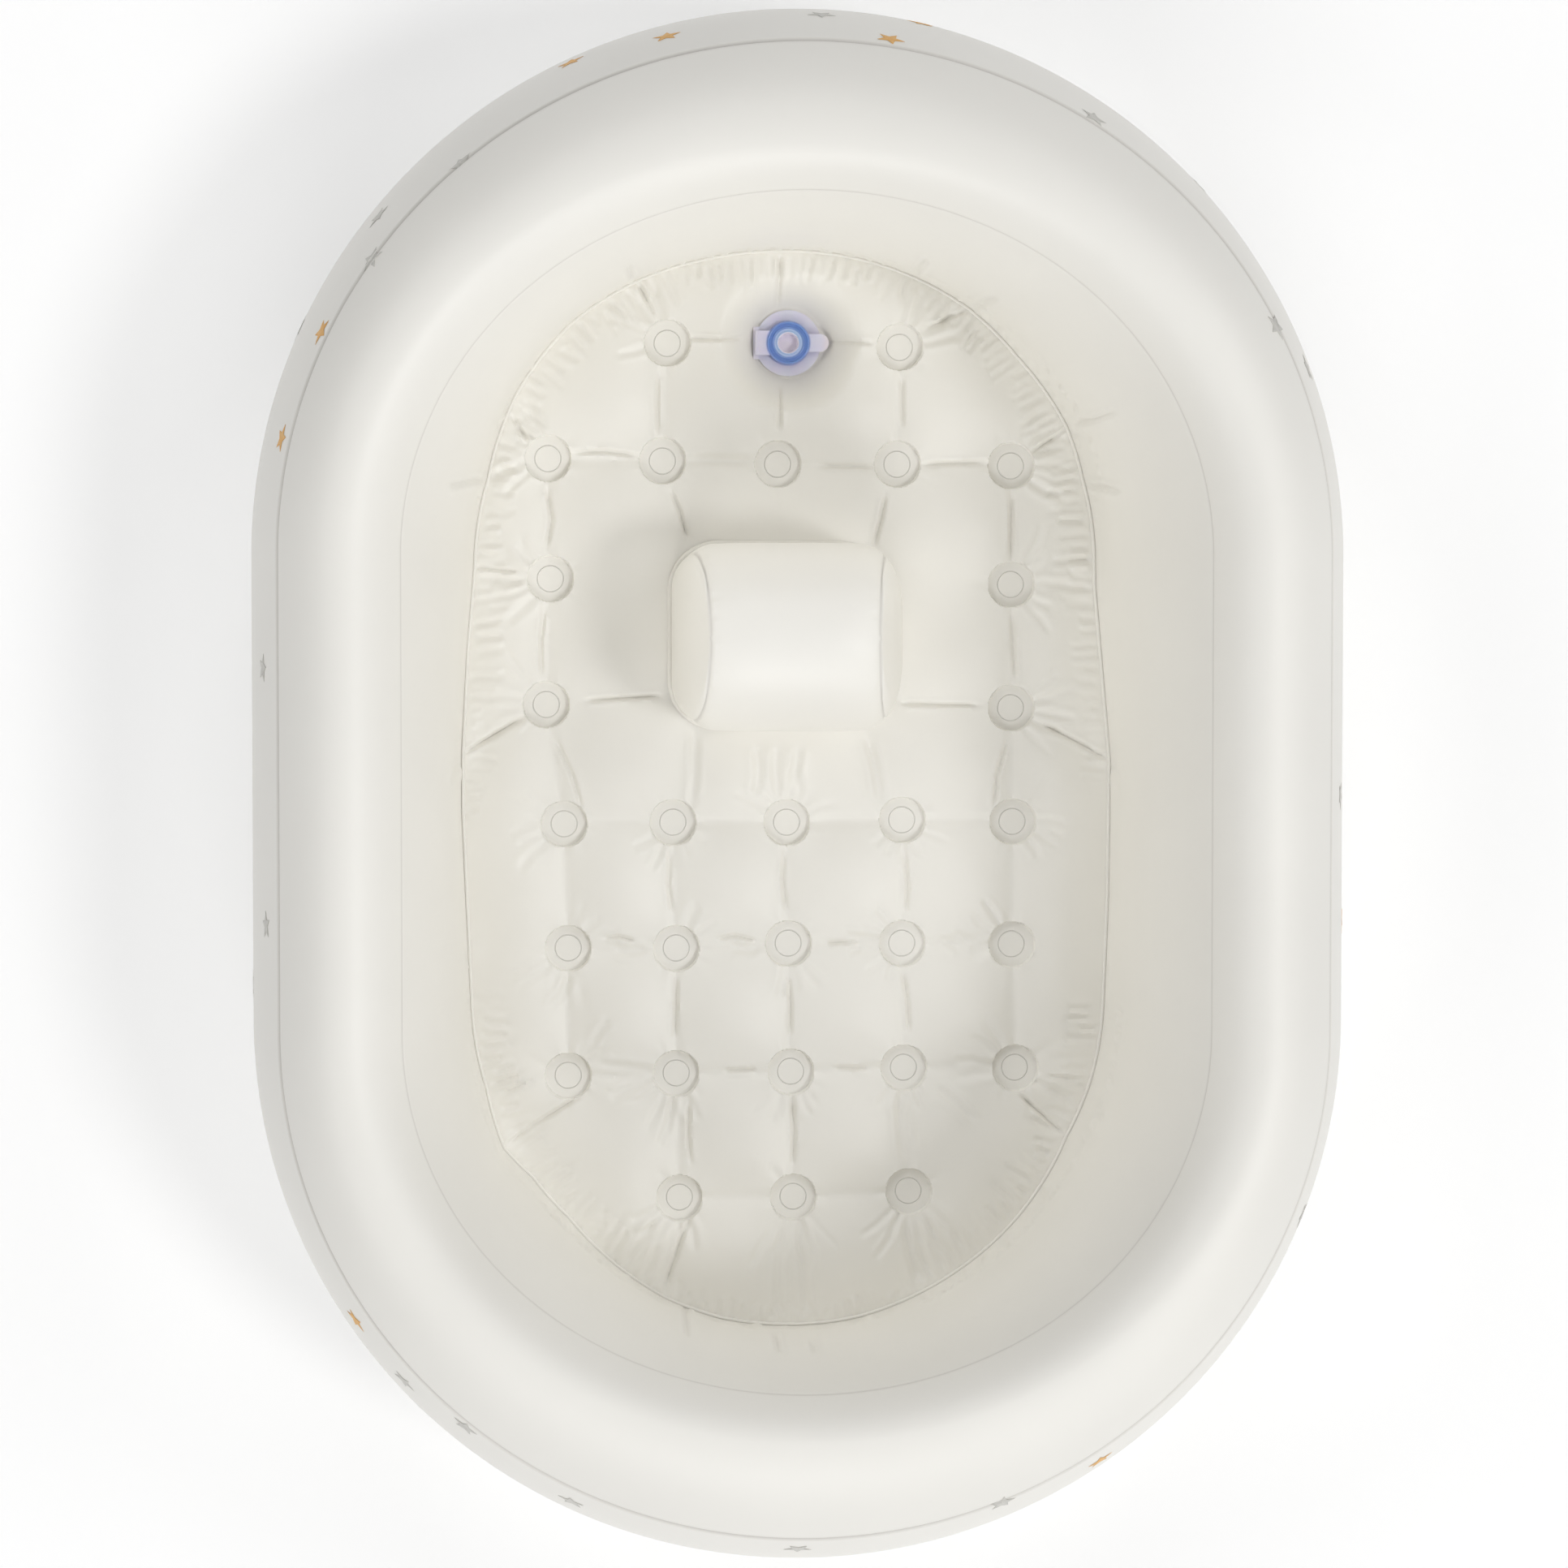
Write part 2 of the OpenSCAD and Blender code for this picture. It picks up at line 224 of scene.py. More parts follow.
# Makes the piece of a mesh in millimetres, with its faces outwards
def finishPiece(bm, name, material, crisp=180):
    bmesh.ops.recalc_face_normals(bm, faces=bm.faces)
    bmesh.ops.scale(bm, verts=bm.verts, vec=(mm, mm, mm))
    print(name + ":", len(bm.faces), "faces")
    return makeObject(bm, name, material, crisp)


def vertsOf(geometry):
    return [v for v in geometry if isinstance(v, bmesh.types.BMVert)]


def edgesOf(geometry):
    return [e for e in geometry if isinstance(e, bmesh.types.BMEdge)]


def setAttribute(bm, name, values):
    layer = bm.verts.layers.float.new(name)
    for vert, value in zip(bm.verts, values):
        vert[layer] = value


# Adds a round bead that runs along a closed path
def addBead(bm, path, radius):
    curve = bpy.data.curves.new("bead", "CURVE")
    curve.dimensions = "3D"
    curve.bevel_depth = radius
    curve.bevel_resolution = 2
    spline = curve.splines.new("POLY")
    spline.points.add(len(path) - 1)
    spline.points.foreach_set("co", np.c_[path, np.ones(len(path))].ravel())
    spline.use_cyclic_u = True
    holder = bpy.data.objects.new("bead", curve)
    bpy.context.collection.objects.link(holder)
    bpy.context.view_layer.update()
    depsgraph = bpy.context.evaluated_depsgraph_get()
    mesh = bpy.data.meshes.new_from_object(holder.evaluated_get(depsgraph))
    bm.from_mesh(mesh)
    bpy.data.objects.remove(holder)
    bpy.data.curves.remove(curve)
    bpy.data.meshes.remove(mesh)


def coordinates(bm):
    return np.array([v.co[:] for v in bm.verts])


def moveTo(bm, x, y, z):
    for vert, point in zip(bm.verts, np.stack([x, y, z], axis=1)):
        vert.co = point


def smooth(value):
    value = np.clip(value, 0, 1)
    return value * value * (3 - 2 * value)


# Distance of points to a straight line, and how far along it they are, 0 to 1
def lineGap(x, y, start, end):
    (ax, ay), (bx, by) = start, end
    dx, dy = bx - ax, by - ay
    t = np.clip(((x - ax) * dx + (y - ay) * dy) / (dx**2 + dy**2), 0, 1)
    return np.hypot(x - ax - t * dx, y - ay - t * dy), t


# Height that a set of folds adds at the points x, y. Each fold is a line of points with a
# half width, a depth, and the share of its depth that stands as a ridge on either side.
def foldHeight(x, y, folds):
    height = np.zeros_like(x)
    for line, width, depth, ridge in folds:
        line = np.array(line, float)
        low, high = line.min(axis=0) - 4 * width, line.max(axis=0) + 4 * width
        near = (x > low[0]) & (x < high[0]) & (y > low[1]) & (y < high[1])
        if not near.any():
            continue
        px, py = x[near], y[near]
        lengths = np.hypot(*np.diff(line, axis=0).T)
        best = np.full(px.shape, 1e9)
        along = np.zeros(px.shape)
        walked = 0
        for start, end, length in zip(line[:-1], line[1:], lengths):
            gap, t = lineGap(px, py, start, end)
            closer = gap < best
            best = np.where(closer, gap, best)
            along = np.where(closer, (walked + t * length) / lengths.sum(), along)
            walked += length
        taper = smooth(along / 0.22) * smooth((1 - along) / 0.22)
        across = best / width
        shape = -np.exp(-(across**2)) + ridge * np.exp(-((across - 2) ** 2))
        height[near] += depth * taper * shape
    return height


# Folds at random distances along the bands of an oval, as (from, to) shares of its length,
# with the distance from it where they start and end, and their strength
def puckerFolds(bands, length, spacing, width, depth, dice):
    folds = []
    for (start, end), (low, high), strength in bands:
        place = start * length
        while place < end * length:
            bottom = low + dice.uniform(0, 0.25) * (high - low)
            top = low + dice.uniform(0.45, 1.15) * (high - low)
            lean = dice.uniform(-0.18, 0.18) * (top - bottom)
            line = [(place, bottom), (place + lean * 0.4, (bottom + top) / 2), (place + lean, top)]
            deep = depth * strength * dice.uniform(0.4, 1.2)
            folds.append((line, width * dice.uniform(0.8, 1.25), deep, 0.7))
            place += spacing * dice.uniform(0.7, 1.35)
    return folds


wallShape = dict(
    halfWidth=323.5,
    halfStraight=136.5,
    baseIn=122,  # inward reach of the tube where it meets the floor
    contactIn=44,  # where the outer sheet leaves the ground
    widest=140,
    outerSeam=((20, 246), (28, 246)),  # inward, height: along the sides, at the ends
    crest=((60, 280), (90, 280)),
    innerSeam=((91, 256), (115, 259)),
    floorSeam=50,
    innerBulge=(12, 14),
    outerSeamDepth=1.5,
    innerSeamDepth=0.5,
    outerSeamRow=30,  # rows of the section, counted from the ground
    innerSeamRow=53,
    endSteps=178,  # a quarter turn
    sideSteps=56,
    puckers=(8.5, 2.6, 1.4),  # spacing, half width and depth
    pleats=(17, 4.5, 1.5),
    creases=(3.2, 1.9, 0.5),  # half width and depth, ridge beside them
    creasedFrom=85,  # inward, where the folded part of the inner sheet starts
    creasedUpTo=150,  # above the floor's seam
    seed=7,
)

# Along the seam of wall and floor, for puckerFolds: puckers of the inner sheet, and pleats
puckerBands = [
    ((0.09, 0.41), (2, 24), 0.8),
    ((0.56, 0.64), (2, 26), 0.8),
    ((0.64, 0.93), (5, 28), 0.35),
    ((0.10, 0.20), (40, 62), 1.0),
    ((0.215, 0.29), (42, 60), 0.8),
    ((0.60, 0.71), (34, 58), 1.2),
    ((0.80, 0.93), (38, 62), 1.2),
]
pleatBands = [
    ((0.655, 0.865), (2, 46), 1.0),
    ((0.17, 0.33), (4, 40), 0.5),
]

# The seam of wall and floor, in pixels of the photo, clockwise from the middle of the top
floorSeamInPhoto = [
    (960, 308), (1050, 316), (1125, 340), (1195, 380), (1255, 440), (1315, 525), (1335, 590),
    (1350, 725), (1368, 935), (1366, 1100), (1360, 1240), (1345, 1330), (1315, 1400),
    (1250, 1505), (1150, 1585), (1060, 1627), (965, 1640), (890, 1628), (820, 1600),
    (700, 1500), (655, 1450), (620, 1415), (598, 1340), (580, 1240), (568, 1000), (566, 930),
    (575, 800), (583, 705), (600, 590), (635, 485), (700, 400), (785, 345), (870, 318),
]


# Where the tub's long axis is nearest to a point: its middle line ends at the round ends
def axisPoint(y):
    return np.clip(y, -wallShape["halfStraight"], wallShape["halfStraight"])


# Place round an oval as a length from the middle of the right side, and the inset from it
def ovalPlace(x, y, radius):
    half = wallShape["halfStraight"]
    centre = axisPoint(y)
    angle = np.arctan2(y - centre, x)
    rho = np.hypot(x, y - centre)
    quarter = math.pi / 2 * radius
    turn = np.where(angle < 0, angle + 2 * math.pi, angle)
    onTop = half + radius * turn
    onLeft = half + 2 * quarter + (half - y)
    onBottom = 3 * half + 2 * quarter + radius * (turn - math.pi)
    onSides = np.where(x < 0, onLeft, y)
    place = np.where(y > half, onTop, np.where(y < -half, onBottom, onSides))
    return place, radius - rho


# The point of the oval at that place, moved in by the inset
def ovalPoint(place, radius, inset):
    half = wallShape["halfStraight"]
    rho = radius - inset
    end = math.pi * radius
    if place < half:
        return rho, place
    if place < half + end:
        angle = (place - half) / radius
        return rho * math.cos(angle), half + rho * math.sin(angle)
    if place < 3 * half + end:
        return -rho, 2 * half + end - place
    if place < 3 * half + 2 * end:
        angle = (place - 3 * half - end) / radius + math.pi
        return rho * math.cos(angle), rho * math.sin(angle) - half
    return rho, place - 4 * half - 2 * end


def ovalLength(radius):
    return 4 * wallShape["halfStraight"] + 2 * math.pi * radius


def seamInset(place, radius):
    points = np.array(inPlan(floorSeamInPhoto, wallShape["floorSeam"]))
    places, insets = ovalPlace(points[:, 0], points[:, 1], radius)
    insets = np.clip(insets, 0, None)
    return np.interp(place, places, insets, period=ovalLength(radius))


def blendPair(pair, endness):
    side, end = pair
    return side + (end - side) * endness


# Section of the wall at every row and column: inward reach and height. endness is 0 along
# the straight sides and 1 at the middle of the ends. Rows lie closer beside the seams.
def wallSection(endness, inset):
    shape = wallShape
    outerIn, outerUp = (blendPair(p, endness) for p in zip(*shape["outerSeam"]))
    crestIn, crestUp = (blendPair(p, endness) for p in zip(*shape["crest"]))
    innerIn, innerUp = (blendPair(p, endness) for p in zip(*shape["innerSeam"]))
    bulge = blendPair(shape["innerBulge"], endness)
    floorIn = shape["baseIn"] + inset
    floorUp = shape["floorSeam"]
    rows = []
    for t in np.linspace(0, 1, 6)[:-1]:  # flat on the ground
        rows.append((shape["baseIn"] * (1 - t) + shape["contactIn"] * t, 0))
    for t in np.linspace(0, math.pi / 2, 13)[:-1]:  # lower half of the outer sheet
        rows.append((shape["contactIn"] * (1 - math.sin(t)), shape["widest"] * (1 - math.cos(t))))
    for t in (*np.linspace(0, 0.9, 9), 0.95, 0.972, 0.983):  # up to the outer seam
        rows.append((outerIn * t * t, shape["widest"] + (outerUp - shape["widest"]) * t))
    dent = shape["outerSeamDepth"]
    seamIn, seamUp = outerIn + 0.9 * dent, outerUp - 0.43 * dent
    rows += [(seamIn - 0.6, seamUp - 0.9), (seamIn, seamUp)]
    for t in (0.024, 0.045, 0.08, *np.linspace(0.16, 1, 9)):  # crown, up to its crest
        u = outerIn + (crestIn - outerIn) * t
        rows.append((u, crestUp - (crestUp - outerUp) * (1 - t) ** 2))
    for t in (*np.linspace(0, 0.84, 8)[1:], 0.91, 0.96, 0.982):  # and down to the inner seam
        u = crestIn + (innerIn - crestIn) * t
        rows.append((u, crestUp - (crestUp - innerUp) * t**2))
    dent = shape["innerSeamDepth"]
    rows.append((innerIn - 0.9 * dent, innerUp - 0.43 * dent))
    drop = innerUp - floorUp
    lean = floorIn - innerIn
    chord = np.hypot(drop, lean)
    upper = (0.004, 0.01, 0.02, *np.linspace(0.05, 0.6, 16))
    for t in (*upper, *np.linspace(0.62, 0.97, 20), 0.985, 1):  # inner sheet
        swell = 5.65 * bulge * t * (1 - t) ** 1.6 / chord  # fullest, at 1, in its upper half
        rows.append((innerIn + lean * t + swell * drop, innerUp - drop * t + swell * lean))
    for t in (0.33, 0.66, 1):  # tucked back under the floor's seam
        rows.append((floorIn - inset * t, floorUp - 20 * t))
    rows.append((shape["baseIn"], 15))
    one = np.ones_like(endness)
    return (np.array([values[axis] * one for values in rows]) for axis in (0, 1))


# Creases of the inner sheet, in pixels of the photo
wallCreases = [
    [(845, 1606), (846, 1630), (848, 1652)], [(955, 1638), (960, 1665), (966, 1690)],
    [(1000, 1645), (1008, 1680), (1013, 1713)], [(1319, 521), (1348, 517), (1377, 506)],
    [(1338, 597), (1362, 600), (1384, 608)], [(545, 601), (572, 594), (598, 590)],
    [(556, 966), (561, 952), (566, 936)], [(1345, 1392), (1352, 1380), (1360, 1370)],
    [(1370, 940), (1376, 958), (1380, 972)], [(782, 343), (776, 332), (772, 322)],
    [(1125, 338), (1136, 326), (1144, 318)], [(1196, 380), (1214, 372), (1232, 366)],
]


def makeWall(material):
    shape = wallShape
    half, outer = shape["halfStraight"], shape["halfWidth"]
    inward, height = wallSection(np.zeros(1), np.zeros(1))
    bm = bmesh.new()
    rowLayer = bm.verts.layers.int.new("row")
    loop = [bm.verts.new((outer - u, 0, z)) for u, z in zip(inward[:, 0], height[:, 0])]
    for row, vert in enumerate(loop):
        vert[rowLayer] = row
    edges = [bm.edges.new((loop[i - 1], loop[i])) for i in range(len(loop))]
    geometry = loop + edges
    for _ in range(shape["sideSteps"]):
        grown = bmesh.ops.extrude_edge_only(bm, edges=edgesOf(geometry))["geom"]
        geometry = vertsOf(grown) + edgesOf(grown)
        bmesh.ops.translate(bm, verts=vertsOf(grown), vec=(0, half / shape["sideSteps"], 0))
    bmesh.ops.spin(
        bm, geom=geometry, cent=(0, half, 0), axis=(0, 0, 1), dvec=(0, 0, 0),
        angle=math.pi / 2, steps=shape["endSteps"], use_merge=False, use_duplicate=False,
    )
    for mirrored in ((-1, 1, 1), (1, -1, 1)):
        copy = bmesh.ops.duplicate(bm, geom=bm.verts[:] + bm.edges[:] + bm.faces[:])["geom"]
        bmesh.ops.scale(bm, verts=vertsOf(copy), vec=mirrored)
        bmesh.ops.remove_doubles(bm, verts=bm.verts, dist=0.01)
    print("wall: swept,", len(bm.verts), "points")

    points = coordinates(bm)
    rows = np.array([v[rowLayer] for v in bm.verts])
    centre = axisPoint(points[:, 1])
    angle = np.arctan2(points[:, 1] - centre, points[:, 0])
    endness = np.sin(angle) ** 2
    radius = outer - shape["baseIn"]
    floorX, floorY = radius * np.cos(angle), centre + radius * np.sin(angle)
    place = ovalPlace(floorX, floorY, radius)[0]
    sheetIn, sheetUp = wallSection(endness, seamInset(place, radius))
    pick = np.arange(len(points))
    u, z = sheetIn[rows, pick], sheetUp[rows, pick]
    dice = random.Random(shape["seed"])
    puckers = puckerFolds(puckerBands, ovalLength(radius), *shape["puckers"], dice)
    puckers += puckerFolds(pleatBands, ovalLength(radius), *shape["pleats"], dice)
    up = z - shape["floorSeam"]
    onInner = (u > shape["creasedFrom"]) & (up > 0) & (up < shape["creasedUpTo"])
    u = u + np.where(onInner, foldHeight(place, np.where(onInner, up, 500), puckers), 0)

    def inSpace(u):
        rho = outer - u
        return rho * np.cos(angle), centre + rho * np.sin(angle), z

    px, py = photoPixels(np.stack(inSpace(u), axis=1))
    creases = [(line, *shape["creases"]) for line in wallCreases]
    u = u + np.where(onInner, foldHeight(np.where(onInner, px, -999), py, creases), 0)
    moveTo(bm, *inSpace(u))
    outerRow = shape["outerSeamRow"]
    # painted shade along the outer seam's groove and on the inner seam line, with the weld's gloss
    seamShadeRows = {outerRow - 1: 0.8, outerRow: 1, shape["innerSeamRow"]: 0.5}
    setAttribute(bm, "weld", [seamShadeRows.get(row, 0) for row in rows])
    for side in (-1, 1):
        pressRecess(bm, side * valvePlace["angle"])
    return finishPiece(bm, "wallSheets", material)


# The air valves at the head end, on either side of the long axis, and their recesses
valvePlace = dict(
    angle=9,  # degrees from the axis
    height=140,
    recess=7.2,  # its depth
    flat=18.5,  # radius of its flat bottom
    reach=30,  # radius at which it meets the sheet
    fine=34,  # radius of the finer mesh
    passes=2,
    sheetDepth=60,  # the outer sheet lies within this of the tub's side
)


def pressRecess(bm, degrees):
    shape = valvePlace
    half, outer = wallShape["halfStraight"], wallShape["halfWidth"]
    turn = math.radians(degrees - 90)
    out = np.array((math.cos(turn), math.sin(turn), 0))
    side = np.array((-math.sin(turn), math.cos(turn), 0))
    base = np.array((0, -half, shape["height"])) + out * outer

    def local(points):
        away = points - base
        return away @ out, np.hypot(away @ side, away[:, 2])

    for _ in range(shape["passes"]):
        depth, gap = local(coordinates(bm))
        near = (gap < shape["fine"]) & (depth > -shape["sheetDepth"])
        edges = list({e for v, isNear in zip(bm.verts, near) if isNear for e in v.link_edges})
        bmesh.ops.subdivide_edges(bm, edges=edges, cuts=1, use_grid_fill=True)
    points = coordinates(bm)
    depth, gap = local(points)
    share = smooth((shape["reach"] - gap) / (shape["reach"] - shape["flat"]))
    share *= depth > -shape["sheetDepth"]
    points += np.outer((-shape["recess"] - depth) * share, out)
    moveTo(bm, *points.T)


studio = dict(
    lamps=[  # name, degrees round from +X, degrees above the ground, strength, softness
        ("keyLamp", -21, 58, 0.6, 12), ("topLamp", 0, 89, 0.06, 60),
        ("fillEast", 30, 40, 0.46, 30), ("fillNorth", 90, 40, 0.46, 30),
        ("fillWest", 150, 40, 0.5, 30), ("fillSouthWest", 210, 40, 0.4, 30),
        ("fillSouth", 270, 40, 0.8, 30), ("fillSouthEast", 330, 40, 0.14, 30),
        ("lowEast", 0, 18, 0.25, 30), ("lowNorth", 60, 18, 0.05, 30),
        ("lowWest", 180, 18, 0.06, 30), ("lowSouthWest", 240, 18, 0.22, 30),
        ("lowSouthEast", 300, 18, 0.35, 30),
    ],
    skyStrength=0.02,
    floorTone=(0.82, 0.82, 0.82),
    floorGlow=0.3,  # for the camera alone
    floorSize=4,
)


# Closure that rays of the camera, of reflections and through clear plastic see, over the
# one that lights the object
def seenDirectly(tree, lighting, seen, output):
    path = addNode(tree, "LightPath")
    total = path.outputs["Is Camera Ray"]
    for kind in ("Is Glossy Ray", "Is Transmission Ray"):
        either = addNode(tree, "Math", {0: total, 1: path.outputs[kind]}, operation="MAXIMUM")
        total = either.outputs["Value"]
    mixed = addNode(tree, "MixShader", {0: total, 1: lighting, 2: seen})
    tree.links.new(mixed.outputs["Shader"], tree.nodes[output].inputs["Surface"])


def addStudio():
    for name, around, above, strength, softness in studio["lamps"]:
        around, above = math.radians(around), math.radians(above)
        lamp = bpy.data.lights.new(name, "SUN")
        lamp.energy = strength
        lamp.angle = math.radians(softness)
        holder = bpy.data.objects.new(name, lamp)
        flat = math.cos(above)
        towards = Vector((flat * math.cos(around), flat * math.sin(around), math.sin(above)))
        holder.rotation_mode = "QUATERNION"
        holder.rotation_quaternion = towards.to_track_quat("Z", "Y")
        bpy.context.collection.objects.link(holder)

    world = bpy.data.worlds.new("studio")
    bpy.context.scene.world = world
    world.use_nodes = True
    tree = world.node_tree
    sky = tree.nodes["Background"]
    fillSockets(tree, sky, {"Strength": studio["skyStrength"], "Color": (1, 1, 1, 1)})
    backdrop = addNode(tree, "Background", {"Strength": 1, "Color": (1, 1, 1, 1)})
    seenDirectly(tree, sky.outputs[0], backdrop.outputs[0], "World Output")

    bm = bmesh.new()
    bmesh.ops.create_grid(bm, x_segments=1, y_segments=1, size=studio["floorSize"])
    material, tree, shader = newMaterial("paleFloor")
    fillSockets(tree, shader, {
        "Base Color": (*studio["floorTone"], 1), "Roughness": 0.9, "Specular IOR Level": 0,
    })
    glow = addNode(tree, "Emission", {"Strength": studio["floorGlow"]})
    lit = addNode(tree, "AddShader", {0: shader.outputs[0], 1: glow.outputs[0]})
    seenDirectly(tree, shader.outputs[0], lit.outputs[0], "Material Output")
    makeObject(bm, "paleFloor", material)
    bpy.context.scene.view_settings.view_transform = "Standard"


# The quilted floor
floorShape = dict(
    radius=201.2,  # half width of its oval
    top=60,
    rim=50,
    rimReach=50,
    split=30,  # height where its two halves meet
    spotRadius=13.8,
    spotDepth=9.5,
    spotReach=36,  # how far from a spot the pillow is at full height
    spotStep=5,  # height of the upright edge round a spot
    drain=(0, 268.7),
    drainTop=31,
    drainUnder=29,
    drainRadius=22,
    drainReach=24,
    drainHole=10.4,
    tabRoom=(3.5, 8),  # how much wider the drain's pit is under the tab, and over what width
    neighbours=(55, 84),  # distances between two spots that a valley joins
    valleyDepth=6.5,  # where two pillows meet between neighbouring spots
    valleyReach=33,
    beadRadius=1.1,  # the weld along the floor's seam
    beadPlace=(0.7, 0.8),  # how far in from the seam and above the rim
    # painted shade on the floor film where it meets the wall
    seamShade=0.35,
    step=2.6,
    underStep=6,
    wave=0.9,
    foldLevel=57,  # height at which the photo's folds are read
    sharpFold=(1.25, 2.4, 0.3),  # half width, depth, ridge beside it
    softFold=(2.3, 1.3, 0.7),
    gathers=(7.2, 2.0, 1.3),  # spacing, half width and depth
    seed=11,
)

# Centres of the weld spots, in pixels of the photo, row by row from the drain's end
weldSpots = [
    (822, 423), (1108, 428),
    (675, 565), (816, 568), (958, 572), (1105, 572), (1245, 574),
    (678, 713), (1245, 720), (673, 868), (1245, 872),
    (695, 1015), (829, 1013), (969, 1013), (1111, 1010), (1247, 1012),
    (700, 1168), (833, 1168), (971, 1162), (1111, 1162), (1246, 1163),
    (700, 1325), (833, 1322), (974, 1320), (1113, 1315), (1250, 1315),
    (837, 1475), (977, 1474), (1119, 1467),
]

# Folds of the upper film that the photo shows, in its pixels: sharp ones, then soft ones
sharpFolds = [
    [(826, 1045), (824, 1090), (829, 1130)], [(967, 1045), (965, 1085), (970, 1127)],
    [(1115, 1045), (1119, 1090), (1117, 1130)], [(834, 1200), (833, 1245), (831, 1285)],
    [(972, 1195), (975, 1240), (974, 1282)], [(1113, 1195), (1119, 1235), (1121, 1278)],
    [(849, 1352), (848, 1400), (852, 1440)], [(976, 1350), (979, 1395), (977, 1440)],
    [(812, 455), (810, 500), (812, 540)], [(1112, 460), (1113, 530)],
    [(962, 308), (960, 384)], [(962, 470), (960, 535)],
    [(673, 595), (680, 640), (672, 682)], [(672, 745), (666, 790), (668, 838)],
    [(1247, 603), (1246, 692)], [(1247, 750), (1252, 842)],
    [(682, 905), (705, 955), (718, 1000)], [(1243, 905), (1229, 955), (1225, 1000)],
    [(566, 932), (610, 905), (648, 882)], [(1280, 890), (1330, 915), (1368, 937)],
    [(616, 1418), (660, 1385), (722, 1347)], [(1252, 1345), (1285, 1375), (1318, 1403)],
    [(855, 1492), (838, 1530), (818, 1595)], [(785, 345), (808, 390)],
    [(1195, 380), (1140, 405)], [(1320, 525), (1268, 560)], [(630, 510), (652, 548)],
    [(702, 558), (745, 556), (788, 562)], [(1005, 574), (1081, 575)], [(1135, 572), (1219, 569)],
    [(843, 416), (886, 418), (919, 414)], [(1013, 418), (1078, 423)],
    [(825, 600), (838, 630), (848, 668)], [(1093, 602), (1086, 640), (1076, 678)],
    [(713, 864), (767, 860), (821, 858)], [(1103, 866), (1160, 869), (1214, 869)],
    [(583, 699), (612, 702), (639, 705)], [(740, 1157), (762, 1154), (784, 1160)],
    [(880, 1158), (905, 1153), (935, 1160)], [(1016, 1163), (1062, 1160)],
    [(890, 1320), (935, 1318)], [(1024, 1316), (1072, 1317)],
]
softFolds = [
    [(845, 565), (930, 568)],
    [(755, 1170), (775, 1174), (800, 1170)], [(900, 1168), (925, 1172), (938, 1168)],
    [(1040, 1153), (1062, 1157)], [(1045, 1172), (1062, 1168)],
    [(1158, 1155), (1185, 1168)], [(1172, 1150), (1205, 1162)],
    [(858, 900), (856, 950), (852, 1000)], [(1068, 905), (1080, 950), (1085, 990)],
    [(545, 600), (600, 585), (650, 570)], [(583, 712), (650, 716)], [(1280, 720), (1350, 725)],
    [(810, 1500), (785, 1540), (765, 1570)], [(1110, 1500), (1122, 1545), (1135, 1590)],
    [(1135, 1490), (1160, 1535), (1185, 1570)], [(962, 1505), (960, 1560), (958, 1630)],
    [(985, 1505), (990, 1570), (996, 1630)], [(1108, 1345), (1110, 1390), (1114, 1430)],
    [(1124, 1345), (1122, 1380), (1126, 1420)], [(1150, 1335), (1185, 1365), (1205, 1385)],
    [(705, 1200), (688, 1230), (675, 1245)], [(728, 1290), (740, 1270), (752, 1255)],
    [(930, 915), (935, 950), (930, 985)], [(958, 915), (955, 950), (960, 985)],
    [(985, 915), (980, 950), (985, 980)],
]

# Fans of small wrinkles beside a weld spot: its number in the list above, the compass range
# in degrees (0 to the right, 90 up), how many, and how long
wrinkleFans = [
    (22, 165, 300, 10, 30), (16, 200, 300, 5, 24), (16, 20, 75, 3, 20), (21, 20, 75, 4, 22),
    (20, 110, 200, 6, 22), (25, 110, 200, 6, 24), (25, 290, 340, 3, 26), (24, 230, 310, 5, 24),
    (23, 225, 310, 6, 20), (18, 250, 330, 4, 18), (19, 110, 250, 6, 16), (17, 30, 80, 3, 20),
    (26, 200, 300, 6, 30), (27, 225, 315, 6, 34), (28, 225, 330, 6, 30), (0, 90, 200, 5, 26),
    (1, 0, 90, 5, 26), (2, 100, 230, 6, 26), (6, -50, 80, 6, 26), (7, 120, 240, 6, 24),
    (8, -60, 60, 6, 24), (9, 120, 230, 6, 26), (10, -60, 60, 6, 26), (11, 130, 230, 6, 24),
    (15, -60, 60, 6, 24), (12, 200, 340, 5, 18), (14, 200, 340, 5, 18), (13, 20, 160, 5, 20),
]

# More valleys, from the outer spots to the seam and to the post, and their share of depth
extraValleys = [
    ((648, 882), (566, 932), 0.7), ((1280, 890), (1368, 937), 0.6),
    ((722, 1347), (616, 1418), 0.9), ((1252, 1345), (1318, 1403), 0.6),
    ((962, 384), (960, 308), 0.6), ((855, 1492), (818, 1595), 0.6),
    ((1119, 1490), (1140, 1590), 0.6), ((977, 1490), (975, 1630), 0.4),
    ((704, 868), (822, 855), 0.7), ((1106, 862), (1222, 870), 0.7),
    ((822, 590), (850, 668), 0.7), ((1100, 595), (1074, 680), 0.7),
    ((858, 900), (836, 1000), 0.7), ((1066, 900), (1095, 1000), 0.7),
    ((822, 423), (785, 345), 0.5), ((1108, 428), (1195, 380), 0.5),
    ((675, 565), (630, 500), 0.5), ((1245, 574), (1320, 525), 0.5),
    ((678, 713), (583, 705), 0.4), ((1245, 720), (1350, 725), 0.4),
    ((700, 1168), (575, 1170), 0.3), ((1246, 1163), (1366, 1165), 0.2),
]

# Gathers along the floor's own side of the seam, for puckerFolds
gatherBands = [
    ((0.0, 0.075), (0, 20), 0.8),
    ((0.075, 0.42), (0, 26), 1.0),
    ((0.42, 0.51), (0, 22), 0.9),
    ((0.575, 0.70), (0, 30), 1.1),
    ((0.70, 0.80), (0, 16), 0.7),
    ((0.80, 0.925), (0, 30), 1.1),
]


